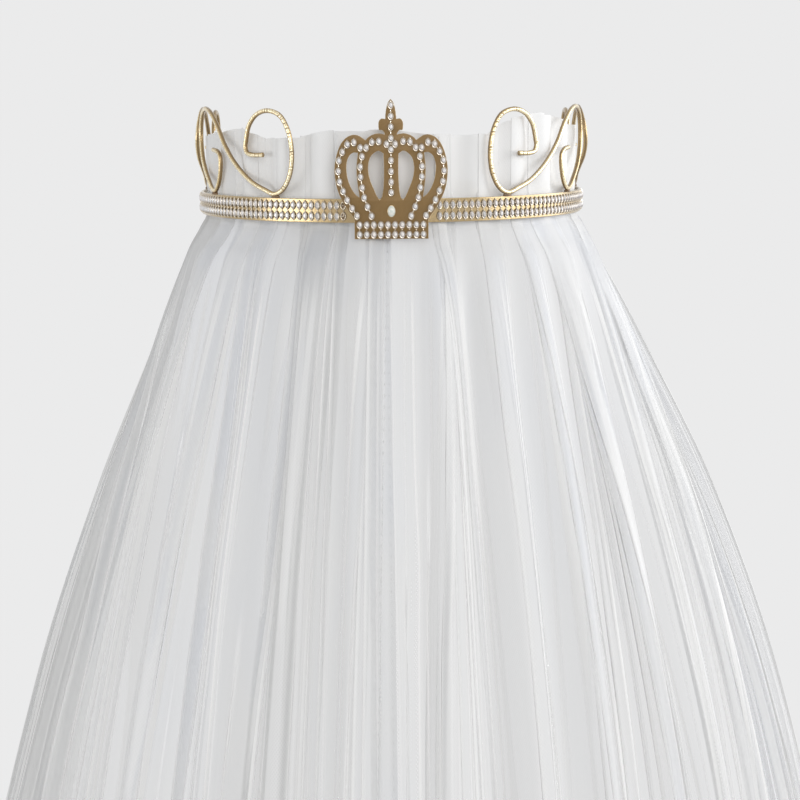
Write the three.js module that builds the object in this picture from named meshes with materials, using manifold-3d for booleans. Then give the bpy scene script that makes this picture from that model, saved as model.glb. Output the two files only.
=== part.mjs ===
// Bed crown canopy: a half-ring metal crown for a wall, with wire scrolls, a cut crown plate,
// rhinestones, a pearl and two gathered tulle panels.
// Millimetres. The origin is the middle of the wall bar's back face, which lies on the wall plane y = 0.
// +Z is up and the front of the crown faces -Y.

import * as THREE from "three";
import { mergeVertices } from "three/addons/utils/BufferGeometryUtils.js";
import Module from "manifold-3d";

const wasm = await Module();
wasm.setup();

// Band and wall bar
const RING_RADIUS = 200; // from the ring's centre to the band's outer face
const ARM_LENGTH = 180; // from the ring's centre back to the wall
const BAND_HEIGHT = 22.4;
const BAND_THICKNESS = 3;
const WALL_BAR_THICKNESS = 3;
const SCREW_HOLE_RADIUS = 3.5;
const SCREW_SPACING = 300;
const CORNER_WELD_LEG = 5;
const CORNER_WELD_HEIGHT = 18;

// Clearances and drawing steps
const GAP = 0.3; // between pieces that touch
const CUT_OVERRUN = 1; // how far a cutter runs past what it cuts
const RING_STEPS = 48; // straight steps in the half ring
const HOLE_STEPS = 16;

// Wire scrolls
const WIRE_RADIUS = 2.1;
const WIRE_SIDES = 6;
const WIRE_STEPS = 56;
const SCROLL_WIDTH = 171; // along the band, between wire centres
const SCROLL_HEIGHT = 80.5; // between wire centres
const FRONT_SCROLL_START = 98; // along the band, from the middle of the front
const REAR_SCROLL_MARGIN = 20.9; // along the band, from the rear loop's far wire to the band's end
const FRONT_SCROLL_BULGE = 1; // how far the side of a scroll's last loop leans out of the ring
const REAR_SCROLL_BULGE = 8.5;
const WELD_THICKNESS = 1.2; // bead between the band's top edge and the wire
const WELD_LENGTH = 9;
const WELD_WIDTH = 5.8;
const WELD_HEIGHT = 5.4;
const WELD_SIDES = 8;

// Crown plate
const PLATE_WIDTH = 104.6;
const PLATE_HEIGHT = 128;
const PLATE_THICKNESS = 2.5;
const PLATE_DROP = 14.4; // from the band's bottom edge down to the plate's
const PLATE_STANDOFF = 3.3; // from the band's front to the plate's back
const SPACER_WIDTH = 10;
const SPACER_HEIGHT = 16;
const SPACER_SPACING = 50;

// Stones and pearl
const STONE_WIDTH = 5.6;
const STONE_HEIGHT = 7;
const STONE_RISE = 2.2;
const STONE_TABLE_SHARE = 0.5;
const STONE_SIDES = 6;
const LINK_WIDTH = 1.6;
const LINK_THICKNESS = 0.8;
const BASE_STONE_PITCH = 6.6;
const BASE_STONE_COUNT = 10;
const BASE_ROW_FIRST = 4.2; // from the plate's bottom edge
const BASE_ROW_PITCH = 9;
const PEARL_WIDTH = 7.4;
const PEARL_HEIGHT = 11.2;
const PEARL_RISE = 3.4;
const PEARL_SIDES = 14;
const STRIP_PITCH = 6.4;
const STRIP_HEIGHT = 19.8;
const STRIP_ROWS = 2;
const STRIP_THICKNESS = 0.6;
const STRIP_RISE = 2.2;
const STRIP_START = 42; // along the band, from the middle of the front
const STRIP_END_MARGIN = 14; // bare band before the wall bar

// Tapes
const TAPE_THICKNESS = 1.4;
const HOOK_TAPE_HEIGHT = 18;
const LOOP_TAPE_HEIGHT = 16;
const TAPE_END_MARGIN = 12; // from the wall
const PANEL_PARTING = 1; // between the two loop tapes at the front

// Veil
const VEIL_DROP = 1800; // from the band's bottom edge to the hem
const HEM_HALF_WIDTH = 640;
const HEM_REACH = 700; // from the wall to the middle of the hem
const HEM_ROUNDNESS = 2.2; // exponent of the hem's superellipse
const HEADING_HEIGHT = 63; // ruffle above the band's top edge
const HEADING_WAVE = 3;
const VEIL_THICKNESS = 1.2;
const VEIL_WALL_MARGIN = 12;
const FOLD_COUNT = 10.5; // main folds in each panel
const COLUMNS_PER_FOLD = 4;
const FOLD_DEPTH = 30; // half the depth of a fold at the hem
const HEADING_FOLD_DEPTH = 4;
const GATHER_FOLD_DEPTH = 2.2;
const FRONT_OVERLAP = 6; // each panel runs past the middle of the front
const LAP_OFFSET = 1.2; // the right panel's front edge lies this far out, the left one's this far in
const PLATE_PRESS_LENGTH = 55; // stretch of the band behind which the plate holds the veil back
const SIDE_START = 200; // along the band, where the veil's sides begin to draw in
const SIDE_FULL = 310;
const SIDE_DRAPES = { left: { tuck: 15, flare: 0 }, right: { tuck: 28, flare: 44 } };
const STEP_START = 300; // along the band, where the front part of the sides begins to sink in
const STEP_END = 395; // where it steps back out to the last stretch by the wall
const STEP_DEPTH = 13;

// Sizes that follow from the ones above
const BAND_TOP = BAND_HEIGHT / 2;
const BAND_BOTTOM = -BAND_HEIGHT / 2;
const QUARTER = (Math.PI / 2) * RING_RADIUS;
const BAND_END = QUARTER + ARM_LENGTH - WALL_BAR_THICKNESS - GAP;
const REAR_SCROLL_END = BAND_END - REAR_SCROLL_MARGIN;
const TAPE_END = QUARTER + ARM_LENGTH - TAPE_END_MARGIN;
const BAND_INNER = RING_RADIUS - BAND_THICKNESS;
const BAND_MIDDLE = RING_RADIUS - BAND_THICKNESS / 2;
const HOOK_OUTER = BAND_INNER - GAP;
const LOOP_OUTER = HOOK_OUTER - TAPE_THICKNESS - GAP;
const GATHER_RADIUS = LOOP_OUTER - TAPE_THICKNESS - GAP - GATHER_FOLD_DEPTH - VEIL_THICKNESS / 2;
const PLATE_BACK = -ARM_LENGTH - RING_RADIUS - PLATE_STANDOFF;
const PLATE_FRONT = PLATE_BACK - PLATE_THICKNESS;
const PLATE_BOTTOM = BAND_BOTTOM - PLATE_DROP;

// One wire scroll, seen from outside: shares of its width along the band and of its height.
// It runs from the curl in the first loop, over that loop, up the long diagonal and round the second loop.
const SCROLL_SHARES = [
  [0.198, 0.463], [0.3, 0.466], [0.333, 0.565], [0.312, 0.79], [0.249, 0.92], [0.165, 0.969],
  [0.076, 0.913], [0.02, 0.727], [0, 0.453], [0.018, 0.217], [0.065, 0.056], [0.122, 0],
  [0.2, 0.05], [0.288, 0.124], [0.374, 0.235], [0.47, 0.391], [0.565, 0.59], [0.647, 0.8],
  [0.749, 0.957], [0.861, 1], [0.953, 0.913], [1, 0.69], [0.96, 0.42], [0.9, 0.26],
  [0.831, 0.14], [0.75, 0.02], [0.7, 0], [0.648, 0.093], [0.614, 0.292], [0.619, 0.43], [0.65, 0.48],
  [0.719, 0.503],
];
const FIRST_WELD_SHARE = 0.115;
const SECOND_WELD_SHARE = 0.71;

// Right half of the crown plate from its tip down: shares of its half width and of its height
const PLATE_OUTLINE_SHARES = [
  [0, 1], [0.046, 0.977], [0.078, 0.934], [0.094, 0.891], [0.098, 0.859], [0.164, 0.862], [0.208, 0.844],
  [0.218, 0.813], [0.203, 0.78], [0.159, 0.78], [0.117, 0.763], [0.109, 0.749], [0.153, 0.753],
  [0.237, 0.757], [0.34, 0.745], [0.409, 0.727], [0.447, 0.71], [0.509, 0.728], [0.57, 0.743],
  [0.658, 0.749], [0.763, 0.735], [0.851, 0.703], [0.922, 0.653], [0.969, 0.592], [0.998, 0.528],
  [1, 0.471], [0.973, 0.386], [0.929, 0.329], [0.868, 0.276], [0.78, 0.215], [0.706, 0.173],
  [0.66, 0.144], [0.658, 0],
];
const INNER_WINDOW_SHARES = [
  [0.216, 0.633], [0.321, 0.61], [0.375, 0.578], [0.402, 0.528], [0.402, 0.486], [0.375, 0.429],
  [0.321, 0.372], [0.26, 0.315], [0.208, 0.28], [0.172, 0.301], [0.145, 0.351], [0.132, 0.422],
  [0.128, 0.528], [0.134, 0.614],
];
const OUTER_WINDOW_SHARES = [
  [0.585, 0.62], [0.665, 0.621], [0.727, 0.603], [0.765, 0.575], [0.788, 0.528], [0.782, 0.471],
  [0.753, 0.414], [0.692, 0.358], [0.621, 0.319], [0.562, 0.302], [0.585, 0.365], [0.606, 0.436],
  [0.612, 0.507], [0.598, 0.578],
];

// Stones on the plate: shares of its half width and of its height
const MIDDLE_STONE_SHARES = [
  [0, 0.955], [0, 0.877], [0, 0.802], [0, 0.721], [0, 0.642], [0, 0.564], [0, 0.486], [0, 0.411], [0, 0.336],
];
const CROSS_STONE_SHARES = [[-0.076, 0.681], [0.076, 0.681]];
const TOP_STONE_SHARES = [[0.215, 0.7], [0.335, 0.695], [0.436, 0.656], [0.54, 0.656]];
const OUTER_STONE_SHARES = [
  [0.652, 0.694], [0.769, 0.68], [0.857, 0.626], [0.921, 0.564], [0.934, 0.489], [0.914, 0.414],
  [0.853, 0.347], [0.784, 0.282], [0.696, 0.222], [0.612, 0.169],
];
const INNER_STONE_SHARES = [
  [0.511, 0.593], [0.545, 0.52], [0.541, 0.447], [0.514, 0.37], [0.48, 0.299], [0.423, 0.233], [0.352, 0.167],
];
const PEARL_HEIGHT_SHARE = 0.201;

// Veil rows below the band: share of the drop, share of the way out to the hem, share of the fold depth
const DRAPE_SHARES = [
  [0.0039, 0.012, 0.08], [0.01, 0.036, 0.1], [0.022, 0.084, 0.18], [0.05, 0.137, 0.28], [0.1, 0.215, 0.4],
  [0.183, 0.348, 0.55], [0.311, 0.52, 0.7], [0.5, 0.71, 0.84], [0.722, 0.865, 0.93], [1, 1, 1],
];
const HEADING_MIDDLE_SHARE = 0.45;
const LAP_FOLD_SHARE = 0.25; // how much further the lapped front edges part where the folds are deeper
const LAP_FADE_SHARE = 0.06; // share of the panel over which the lap ends and the folds reach their depth
const PLATE_PRESS_SHARE = 0.6;
const TUCK_SPREAD = 0.11; // share of the way out to the hem by which the sides are fully drawn in

const finish = (color, roughness, metalness) => new THREE.MeshStandardMaterial({ color, roughness, metalness });
const GOLD_PAINT = finish(0xc8a060, 0.35, 0.9);
const GOLD_WIRE = finish(0xc79a4e, 0.38, 0.9);
const BRONZE_PAINT = finish(0x7d5a2c, 0.55, 0.6);
const WELD_METAL = finish(0x5a4328, 0.7, 0.6);
const CRYSTAL = finish(0xe6e8ec, 0.1, 0.3);
const PEARL = finish(0xe9efe6, 0.2, 0);
const TAPE = finish(0xf4f4f2, 0.9, 0);
const TULLE = finish(0xf5f5f7, 0.8, 0);

const crown = new THREE.Group();

function addPiece(name, geometry, material) {
  const mesh = new THREE.Mesh(geometry, material);
  mesh.name = name;
  crown.add(mesh);
}

function closedGeometry(geometry) {
  const bare = geometry.clone();
  bare.deleteAttribute("normal");
  bare.deleteAttribute("uv");
  return mergeVertices(bare);
}

function toSolid(geometry) {
  const merged = closedGeometry(geometry);
  return new wasm.Manifold(new wasm.Mesh({
    numProp: 3,
    vertProperties: new Float32Array(merged.attributes.position.array),
    triVerts: new Uint32Array(merged.index.array),
  }));
}

function toGeometry(solid) {
  const result = solid.getMesh();
  const geometry = new THREE.BufferGeometry();
  geometry.setAttribute("position", new THREE.BufferAttribute(new Float32Array(result.vertProperties), 3));
  geometry.setIndex(new THREE.BufferAttribute(new Uint32Array(result.triVerts), 1));
  geometry.computeVertexNormals();
  return geometry;
}

function meshGeometry(points, triangles) {
  const geometry = new THREE.BufferGeometry().setFromPoints(points);
  geometry.setIndex(triangles.flat());
  geometry.computeVertexNormals();
  return geometry;
}

// A place along the band: run is measured on the ring's outer face from the middle of the front,
// positive to the right, and radius is the distance from the ring's centre line or arm's middle plane.
function bandPlace(run, radius, height) {
  const side = Math.sign(run) || 1;
  const length = Math.abs(run);
  if (length <= QUARTER) {
    const angle = length / RING_RADIUS;
    return new THREE.Vector3(side * radius * Math.sin(angle), -ARM_LENGTH - radius * Math.cos(angle), height);
  }
  return new THREE.Vector3(side * radius, -ARM_LENGTH + length - QUARTER, height);
}

function bandStations(from, to) {
  const step = (2 * QUARTER) / RING_STEPS;
  const stations = [from];
  for (let index = -RING_STEPS / 2; index <= RING_STEPS / 2; index += 1) {
    const run = index * step;
    if (run > from + CUT_OVERRUN && run < to - CUT_OVERRUN) stations.push(run);
  }
  stations.push(to);
  return stations;
}

function planPrism(outline, bottom, height) {
  const shape = new THREE.Shape(outline.map((point) => new THREE.Vector2(point.x, point.y)));
  const geometry = new THREE.ExtrudeGeometry(shape, { depth: height, bevelEnabled: false });
  return geometry.translate(0, 0, bottom);
}

// A flat strip that follows the band
function bandRibbon(outerRadius, thickness, height, from, to) {
  const stations = bandStations(from, to);
  const outer = stations.map((run) => bandPlace(run, outerRadius, 0));
  const inner = stations.map((run) => bandPlace(run, outerRadius - thickness, 0));
  return planPrism([...outer, ...inner.reverse()], -height / 2, height);
}

function buildBand() {
  addPiece("crown_band", bandRibbon(RING_RADIUS, BAND_THICKNESS, BAND_HEIGHT, -BAND_END, BAND_END), GOLD_PAINT);
}

function buildWallBar() {
  const shape = new THREE.Shape([
    new THREE.Vector2(-RING_RADIUS, BAND_BOTTOM),
    new THREE.Vector2(RING_RADIUS, BAND_BOTTOM),
    new THREE.Vector2(RING_RADIUS, BAND_TOP),
    new THREE.Vector2(-RING_RADIUS, BAND_TOP),
  ]);
  for (const side of [-1, 1]) {
    const hole = new THREE.Path();
    hole.absarc((side * SCREW_SPACING) / 2, 0, SCREW_HOLE_RADIUS, 0, 2 * Math.PI, true);
    shape.holes.push(hole);
  }
  const options = { depth: WALL_BAR_THICKNESS, bevelEnabled: false, curveSegments: HOLE_STEPS };
  addPiece("wall_bar", new THREE.ExtrudeGeometry(shape, options).rotateX(Math.PI / 2), GOLD_PAINT);
}

function buildCornerWelds() {
  const cornerX = BAND_INNER - GAP;
  const cornerY = -WALL_BAR_THICKNESS - GAP;
  for (const [name, side] of [["wall_weld_left", -1], ["wall_weld_right", 1]]) {
    const outline = [
      new THREE.Vector2(side * cornerX, cornerY),
      new THREE.Vector2(side * (cornerX - CORNER_WELD_LEG), cornerY),
      new THREE.Vector2(side * cornerX, cornerY - CORNER_WELD_LEG),
    ];
    addPiece(name, planPrism(outline, -CORNER_WELD_HEIGHT / 2, CORNER_WELD_HEIGHT), WELD_METAL);
  }
}

// The middle line of one scroll, bent round the band
class ScrollLine extends THREE.Curve {
  constructor(side, firstRun, direction, bulge) {
    super();
    this.bulge = bulge;
    this.side = side;
    this.firstRun = firstRun;
    this.direction = direction;
    this.route = new THREE.CatmullRomCurve3(
      SCROLL_SHARES.map(([along, up]) => new THREE.Vector3(along * SCROLL_WIDTH, up * SCROLL_HEIGHT, 0)),
      false,
      "centripetal",
    );
  }

  place(along, up) {
    const run = this.firstRun + this.direction * along;
    const outermost = THREE.MathUtils.smoothstep(along / SCROLL_WIDTH, 0.8, 1);
    const bulge = this.bulge * outermost * Math.sin((Math.PI * up) / SCROLL_HEIGHT);
    const height = BAND_TOP + WELD_THICKNESS + WIRE_RADIUS + up;
    return bandPlace(this.side * run, BAND_MIDDLE + bulge, height);
  }

  getPoint(share, target = new THREE.Vector3()) {
    const point = this.route.getPoint(share);
    return target.copy(this.place(point.x, point.y));
  }
}

function wireTube(line, radius) {
  const section = new THREE.Shape();
  for (let index = 0; index < WIRE_SIDES; index += 1) {
    const angle = (2 * Math.PI * index) / WIRE_SIDES;
    const corner = [radius * Math.cos(angle), radius * Math.sin(angle)];
    if (index === 0) section.moveTo(...corner);
    else section.lineTo(...corner);
  }
  section.closePath();
  return new THREE.ExtrudeGeometry(section, { steps: WIRE_STEPS, bevelEnabled: false, extrudePath: line });
}

function weldBead(line, along, cutter) {
  const middle = line.place(along, 0);
  const before = line.place(along - CUT_OVERRUN, 0);
  const bead = new THREE.SphereGeometry(1, WELD_SIDES, WELD_SIDES / 2);
  bead.scale(WELD_LENGTH / 2, WELD_WIDTH / 2, WELD_HEIGHT / 2);
  bead.rotateZ(Math.atan2(middle.y - before.y, middle.x - before.x));
  bead.translate(middle.x, middle.y, BAND_TOP + WELD_THICKNESS);
  const below = new THREE.BoxGeometry(2 * WELD_LENGTH, 2 * WELD_LENGTH, WELD_HEIGHT);
  below.translate(middle.x, middle.y, BAND_TOP + GAP - WELD_HEIGHT / 2);
  return toGeometry(toSolid(bead).subtract(cutter).subtract(toSolid(below)));
}

function buildScrolls() {
  const rows = [
    ["front", FRONT_SCROLL_START, 1, FRONT_SCROLL_BULGE],
    ["rear", REAR_SCROLL_END, -1, REAR_SCROLL_BULGE],
  ];
  for (const [sideName, side] of [["left", -1], ["right", 1]]) {
    for (const [rowName, firstRun, direction, bulge] of rows) {
      const line = new ScrollLine(side, firstRun, direction, bulge);
      addPiece(`scroll_${rowName}_${sideName}`, wireTube(line, WIRE_RADIUS), GOLD_WIRE);
      const cutter = toSolid(wireTube(line, WIRE_RADIUS + GAP));
      for (const [weldName, share] of [["outer", FIRST_WELD_SHARE], ["inner", SECOND_WELD_SHARE]]) {
        const bead = weldBead(line, share * SCROLL_WIDTH, cutter);
        addPiece(`scroll_weld_${rowName}_${sideName}_${weldName}`, bead, WELD_METAL);
      }
    }
  }
}

// A place on the plate's drawing, from shares of its half width and of its height
function platePlace([across, up]) {
  return new THREE.Vector2((across * PLATE_WIDTH) / 2, up * PLATE_HEIGHT);
}

function mirrored(points) {
  return points.map((point) => new THREE.Vector2(-point.x, point.y)).reverse();
}

function buildPlate() {
  const right = PLATE_OUTLINE_SHARES.map(platePlace);
  const left = mirrored(right).slice(0, -1);
  const shape = new THREE.Shape([...right, ...left].reverse());
  for (const shares of [INNER_WINDOW_SHARES, OUTER_WINDOW_SHARES]) {
    const window = shares.map(platePlace);
    shape.holes.push(new THREE.Path(window), new THREE.Path(mirrored(window)));
  }
  const geometry = new THREE.ExtrudeGeometry(shape, { depth: PLATE_THICKNESS, bevelEnabled: false });
  geometry.rotateX(Math.PI / 2).translate(0, PLATE_BACK, PLATE_BOTTOM);
  addPiece("crown_plate", geometry, BRONZE_PAINT);
}

// Welded blocks between the flat plate and the curved band; their rear face follows the band
function buildSpacers() {
  const front = PLATE_BACK + GAP;
  for (const [name, side] of [["plate_spacer_left", -1], ["plate_spacer_right", 1]]) {
    const middle = (side * SPACER_SPACING) / 2;
    const rear = [-1, 0, 1].map((end) => bandPlace(middle + (end * SPACER_WIDTH) / 2, RING_RADIUS + GAP, 0));
    const outline = [
      new THREE.Vector2(rear[0].x, front),
      new THREE.Vector2(rear[2].x, front),
      ...rear.reverse(),
    ];
    addPiece(name, planPrism(outline, -SPACER_HEIGHT / 2, SPACER_HEIGHT), BRONZE_PAINT);
  }
}

// One stone in its cup, lying on the plate's front
function stoneSolid(place) {
  const stone = new THREE.CylinderGeometry(STONE_TABLE_SHARE, 1, STONE_RISE, STONE_SIDES);
  stone.scale(STONE_WIDTH / 2, 1, STONE_HEIGHT / 2);
  stone.rotateX(Math.PI);
  stone.translate(place.x, PLATE_FRONT - GAP - STONE_RISE / 2, PLATE_BOTTOM + place.y);
  return toSolid(stone);
}

// The thin metal link between two stones
function linkSolid(start, end) {
  const reach = end.clone().sub(start);
  const link = new THREE.BoxGeometry(reach.length(), LINK_THICKNESS, LINK_WIDTH);
  link.rotateY(-reach.angle());
  const middle = start.clone().add(end).divideScalar(2);
  link.translate(middle.x, PLATE_FRONT - GAP - LINK_THICKNESS / 2, PLATE_BOTTOM + middle.y);
  return toSolid(link);
}

function stoneNet(places, links) {
  const stones = places.map(stoneSolid);
  const joints = links.map(([first, second]) => linkSolid(places[first], places[second]));
  return toGeometry(wasm.Manifold.union([...stones, ...joints]));
}

function stoneChain(shares) {
  const places = shares.map(platePlace);
  const links = places.slice(1).map((_, index) => [index, index + 1]);
  return stoneNet(places, links);
}

function buildPlateStones() {
  const middle = [...MIDDLE_STONE_SHARES, ...CROSS_STONE_SHARES].map(platePlace);
  const last = MIDDLE_STONE_SHARES.length;
  const middleLinks = MIDDLE_STONE_SHARES.slice(1).map((_, index) => [index, index + 1]);
  addPiece("plate_stones_middle", stoneNet(middle, [...middleLinks, [last, last + 1]]), CRYSTAL);
  const chains = [["top", TOP_STONE_SHARES], ["outer", OUTER_STONE_SHARES], ["inner", INNER_STONE_SHARES]];
  for (const [rowName, shares] of chains) {
    for (const [sideName, side] of [["left", -1], ["right", 1]]) {
      const turned = shares.map(([across, up]) => [side * across, up]);
      addPiece(`plate_stones_${rowName}_${sideName}`, stoneChain(turned), CRYSTAL);
    }
  }
  const places = [];
  const links = [];
  for (let row = 0; row < 2; row += 1) {
    for (let index = 0; index < BASE_STONE_COUNT; index += 1) {
      const across = (index - (BASE_STONE_COUNT - 1) / 2) * BASE_STONE_PITCH;
      places.push(new THREE.Vector2(across, BASE_ROW_FIRST + row * BASE_ROW_PITCH));
      const number = places.length - 1;
      if (index > 0) links.push([number - 1, number]);
      if (row > 0) links.push([number - BASE_STONE_COUNT, number]);
    }
  }
  addPiece("plate_stones_base", stoneNet(places, links), CRYSTAL);
}

function buildPearl() {
  const seat = PLATE_FRONT - GAP;
  const pearl = new THREE.SphereGeometry(1, PEARL_SIDES, PEARL_SIDES / 2);
  pearl.scale(PEARL_WIDTH / 2, PEARL_RISE, PEARL_HEIGHT / 2);
  pearl.translate(0, seat, PLATE_BOTTOM + PEARL_HEIGHT_SHARE * PLATE_HEIGHT);
  const behind = new THREE.BoxGeometry(2 * PEARL_WIDTH, PEARL_RISE + CUT_OVERRUN, 2 * PEARL_HEIGHT);
  behind.translate(0, seat + (PEARL_RISE + CUT_OVERRUN) / 2, PLATE_BOTTOM + PEARL_HEIGHT_SHARE * PLATE_HEIGHT);
  addPiece("pearl", toGeometry(toSolid(pearl).subtract(toSolid(behind))), PEARL);
}

// Two rows of stones round one side of the band, drawn as one low pyramid for each stone
function stoneStrip(side) {
  const columns = Math.floor((BAND_END - STRIP_END_MARGIN - STRIP_START) / STRIP_PITCH);
  const back = RING_RADIUS + GAP;
  const rowHeight = STRIP_HEIGHT / STRIP_ROWS;
  const points = [];
  const triangles = [];
  const face = (...corners) => triangles.push(side > 0 ? corners : [...corners].reverse());
  const addPoint = (column, row, radius) => {
    const run = side * (STRIP_START + column * STRIP_PITCH);
    points.push(bandPlace(run, radius, (row - STRIP_ROWS / 2) * rowHeight));
    return points.length - 1;
  };
  const layer = (radius) => {
    const grid = [];
    for (let column = 0; column <= columns; column += 1) {
      grid.push(Array.from({ length: STRIP_ROWS + 1 }, (_, row) => addPoint(column, row, radius)));
    }
    return grid;
  };
  const rear = layer(back);
  const front = layer(back + STRIP_THICKNESS);
  for (let column = 0; column < columns; column += 1) {
    for (let row = 0; row < STRIP_ROWS; row += 1) {
      const tip = addPoint(column + 0.5, row + 0.5, back + STRIP_RISE);
      const ring = [front[column][row], front[column + 1][row], front[column + 1][row + 1], front[column][row + 1]];
      ring.forEach((corner, index) => face(corner, ring[(index + 1) % ring.length], tip));
      face(rear[column][row], rear[column + 1][row + 1], rear[column + 1][row]);
      face(rear[column][row], rear[column][row + 1], rear[column + 1][row + 1]);
    }
    face(rear[column][0], rear[column + 1][0], front[column + 1][0]);
    face(rear[column][0], front[column + 1][0], front[column][0]);
    face(rear[column][STRIP_ROWS], front[column + 1][STRIP_ROWS], rear[column + 1][STRIP_ROWS]);
    face(rear[column][STRIP_ROWS], front[column][STRIP_ROWS], front[column + 1][STRIP_ROWS]);
  }
  for (let row = 0; row < STRIP_ROWS; row += 1) {
    face(rear[0][row], front[0][row], front[0][row + 1]);
    face(rear[0][row], front[0][row + 1], rear[0][row + 1]);
    face(rear[columns][row], front[columns][row + 1], front[columns][row]);
    face(rear[columns][row], rear[columns][row + 1], front[columns][row + 1]);
  }
  return meshGeometry(points, triangles);
}

function buildTapes() {
  const hook = bandRibbon(HOOK_OUTER, TAPE_THICKNESS, HOOK_TAPE_HEIGHT, -TAPE_END, TAPE_END);
  addPiece("hook_tape", hook, TAPE);
  const right = bandRibbon(LOOP_OUTER, TAPE_THICKNESS, LOOP_TAPE_HEIGHT, PANEL_PARTING / 2, TAPE_END);
  const left = bandRibbon(LOOP_OUTER, TAPE_THICKNESS, LOOP_TAPE_HEIGHT, -TAPE_END, -PANEL_PARTING / 2);
  addPiece("loop_tape_left", left, TAPE);
  addPiece("loop_tape_right", right, TAPE);
}

// Half of the hem's plan, from the middle of the front to the wall, at even spacing
function hemPlan(steps) {
  const depth = HEM_REACH - VEIL_WALL_MARGIN;
  const dense = 40 * steps;
  const power = 2 / HEM_ROUNDNESS;
  const points = [];
  for (let index = 0; index <= dense; index += 1) {
    const angle = ((Math.PI / 2) * index) / dense;
    const across = HEM_HALF_WIDTH * Math.sin(angle) ** power;
    points.push(new THREE.Vector2(across, -VEIL_WALL_MARGIN - depth * Math.cos(angle) ** power));
  }
  const lengths = [0];
  for (let index = 1; index <= dense; index += 1) {
    lengths.push(lengths[index - 1] + points[index].distanceTo(points[index - 1]));
  }
  const total = lengths[dense];
  let cursor = 0;
  return Array.from({ length: steps + 1 }, (_, step) => {
    const wanted = (total * step) / steps;
    while (cursor < dense && lengths[cursor + 1] < wanted) cursor += 1;
    return points[Math.min(cursor, dense)];
  });
}

function veilRows() {
  const heading = [
    { height: BAND_TOP + HEADING_HEIGHT, spread: 0, fold: HEADING_FOLD_DEPTH, wave: HEADING_WAVE },
    { height: BAND_TOP + HEADING_MIDDLE_SHARE * HEADING_HEIGHT, spread: 0, fold: HEADING_FOLD_DEPTH, wave: 0 },
    { height: LOOP_TAPE_HEIGHT / 2, spread: 0, fold: GATHER_FOLD_DEPTH, wave: 0 },
    { height: -LOOP_TAPE_HEIGHT / 2, spread: 0, fold: GATHER_FOLD_DEPTH, wave: 0 },
  ];
  const drape = DRAPE_SHARES.map(([drop, spread, fold]) => ({
    height: BAND_BOTTOM - drop * VEIL_DROP,
    spread,
    fold: fold * FOLD_DEPTH,
    wave: 0,
  }));
  return [...heading, ...drape];
}

// How far a panel's side lies in from its even spread: drawn in under the band and fuller lower down,
// with its front part a step further in than its last stretch by the wall
function sideTuck({ tuck, flare }, run, spread) {
  const { smoothstep } = THREE.MathUtils;
  const drawn = tuck * smoothstep(spread, 0, TUCK_SPREAD) - 4 * flare * spread * (1 - spread);
  const sunk = smoothstep(run, STEP_START, STEP_START + 60) * (1 - smoothstep(run, STEP_END - 9, STEP_END));
  const step = STEP_DEPTH * sunk * smoothstep(spread, 0, 0.3) * (1 - smoothstep(spread, 0.5, 0.8));
  return drawn * smoothstep(run, SIDE_START, SIDE_FULL) + step;
}

// One panel of tulle: folds swing about a line that goes from the gathers out to the hem
function veilPanel(side) {
  const columns = FOLD_COUNT * COLUMNS_PER_FOLD;
  const hem = hemPlan(columns);
  const panelEnd = QUARTER + ARM_LENGTH - VEIL_WALL_MARGIN;
  const rows = veilRows();
  const sideDrape = side < 0 ? SIDE_DRAPES.left : SIDE_DRAPES.right;
  const runAt = (column) => -FRONT_OVERLAP + (column / columns) * (panelEnd + FRONT_OVERLAP);
  const plan = rows.map((row) => hem.map((hemPoint, column) => {
    const share = column / columns;
    const run = runAt(column);
    const gather = bandPlace(run, GATHER_RADIUS, 0);
    const press = Math.exp(-((run / PLATE_PRESS_LENGTH) ** 2)) * Math.exp(-row.spread * columns);
    const spread = row.spread * (1 - PLATE_PRESS_SHARE * press);
    const hemX = hemPoint.x - FRONT_OVERLAP * (1 - share);
    return new THREE.Vector2(
      THREE.MathUtils.lerp(gather.x, hemX, spread),
      THREE.MathUtils.lerp(gather.y, hemPoint.y, spread),
    );
  }));
  const middle = plan.map((line, rowIndex) => line.map((point, column) => {
    const row = rows[rowIndex];
    const ahead = line[Math.min(column + 1, columns)];
    const behind = line[Math.max(column - 1, 0)];
    const along = ahead.clone().sub(behind).normalize();
    const open = Math.min(1, column / columns / LAP_FADE_SHARE);
    const lap = (1 - open) * (LAP_OFFSET + LAP_FOLD_SHARE * row.fold);
    const turn = (2 * Math.PI * column) / COLUMNS_PER_FOLD;
    const swing = side * (lap + open * row.fold * Math.cos(turn)) - sideTuck(sideDrape, runAt(column), row.spread);
    const rise = row.wave * Math.sin(turn + column);
    return new THREE.Vector3(
      side * (point.x + swing * along.y),
      point.y - swing * along.x,
      row.height + rise,
    );
  }));
  return clothShell(middle, VEIL_THICKNESS, side);
}

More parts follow.
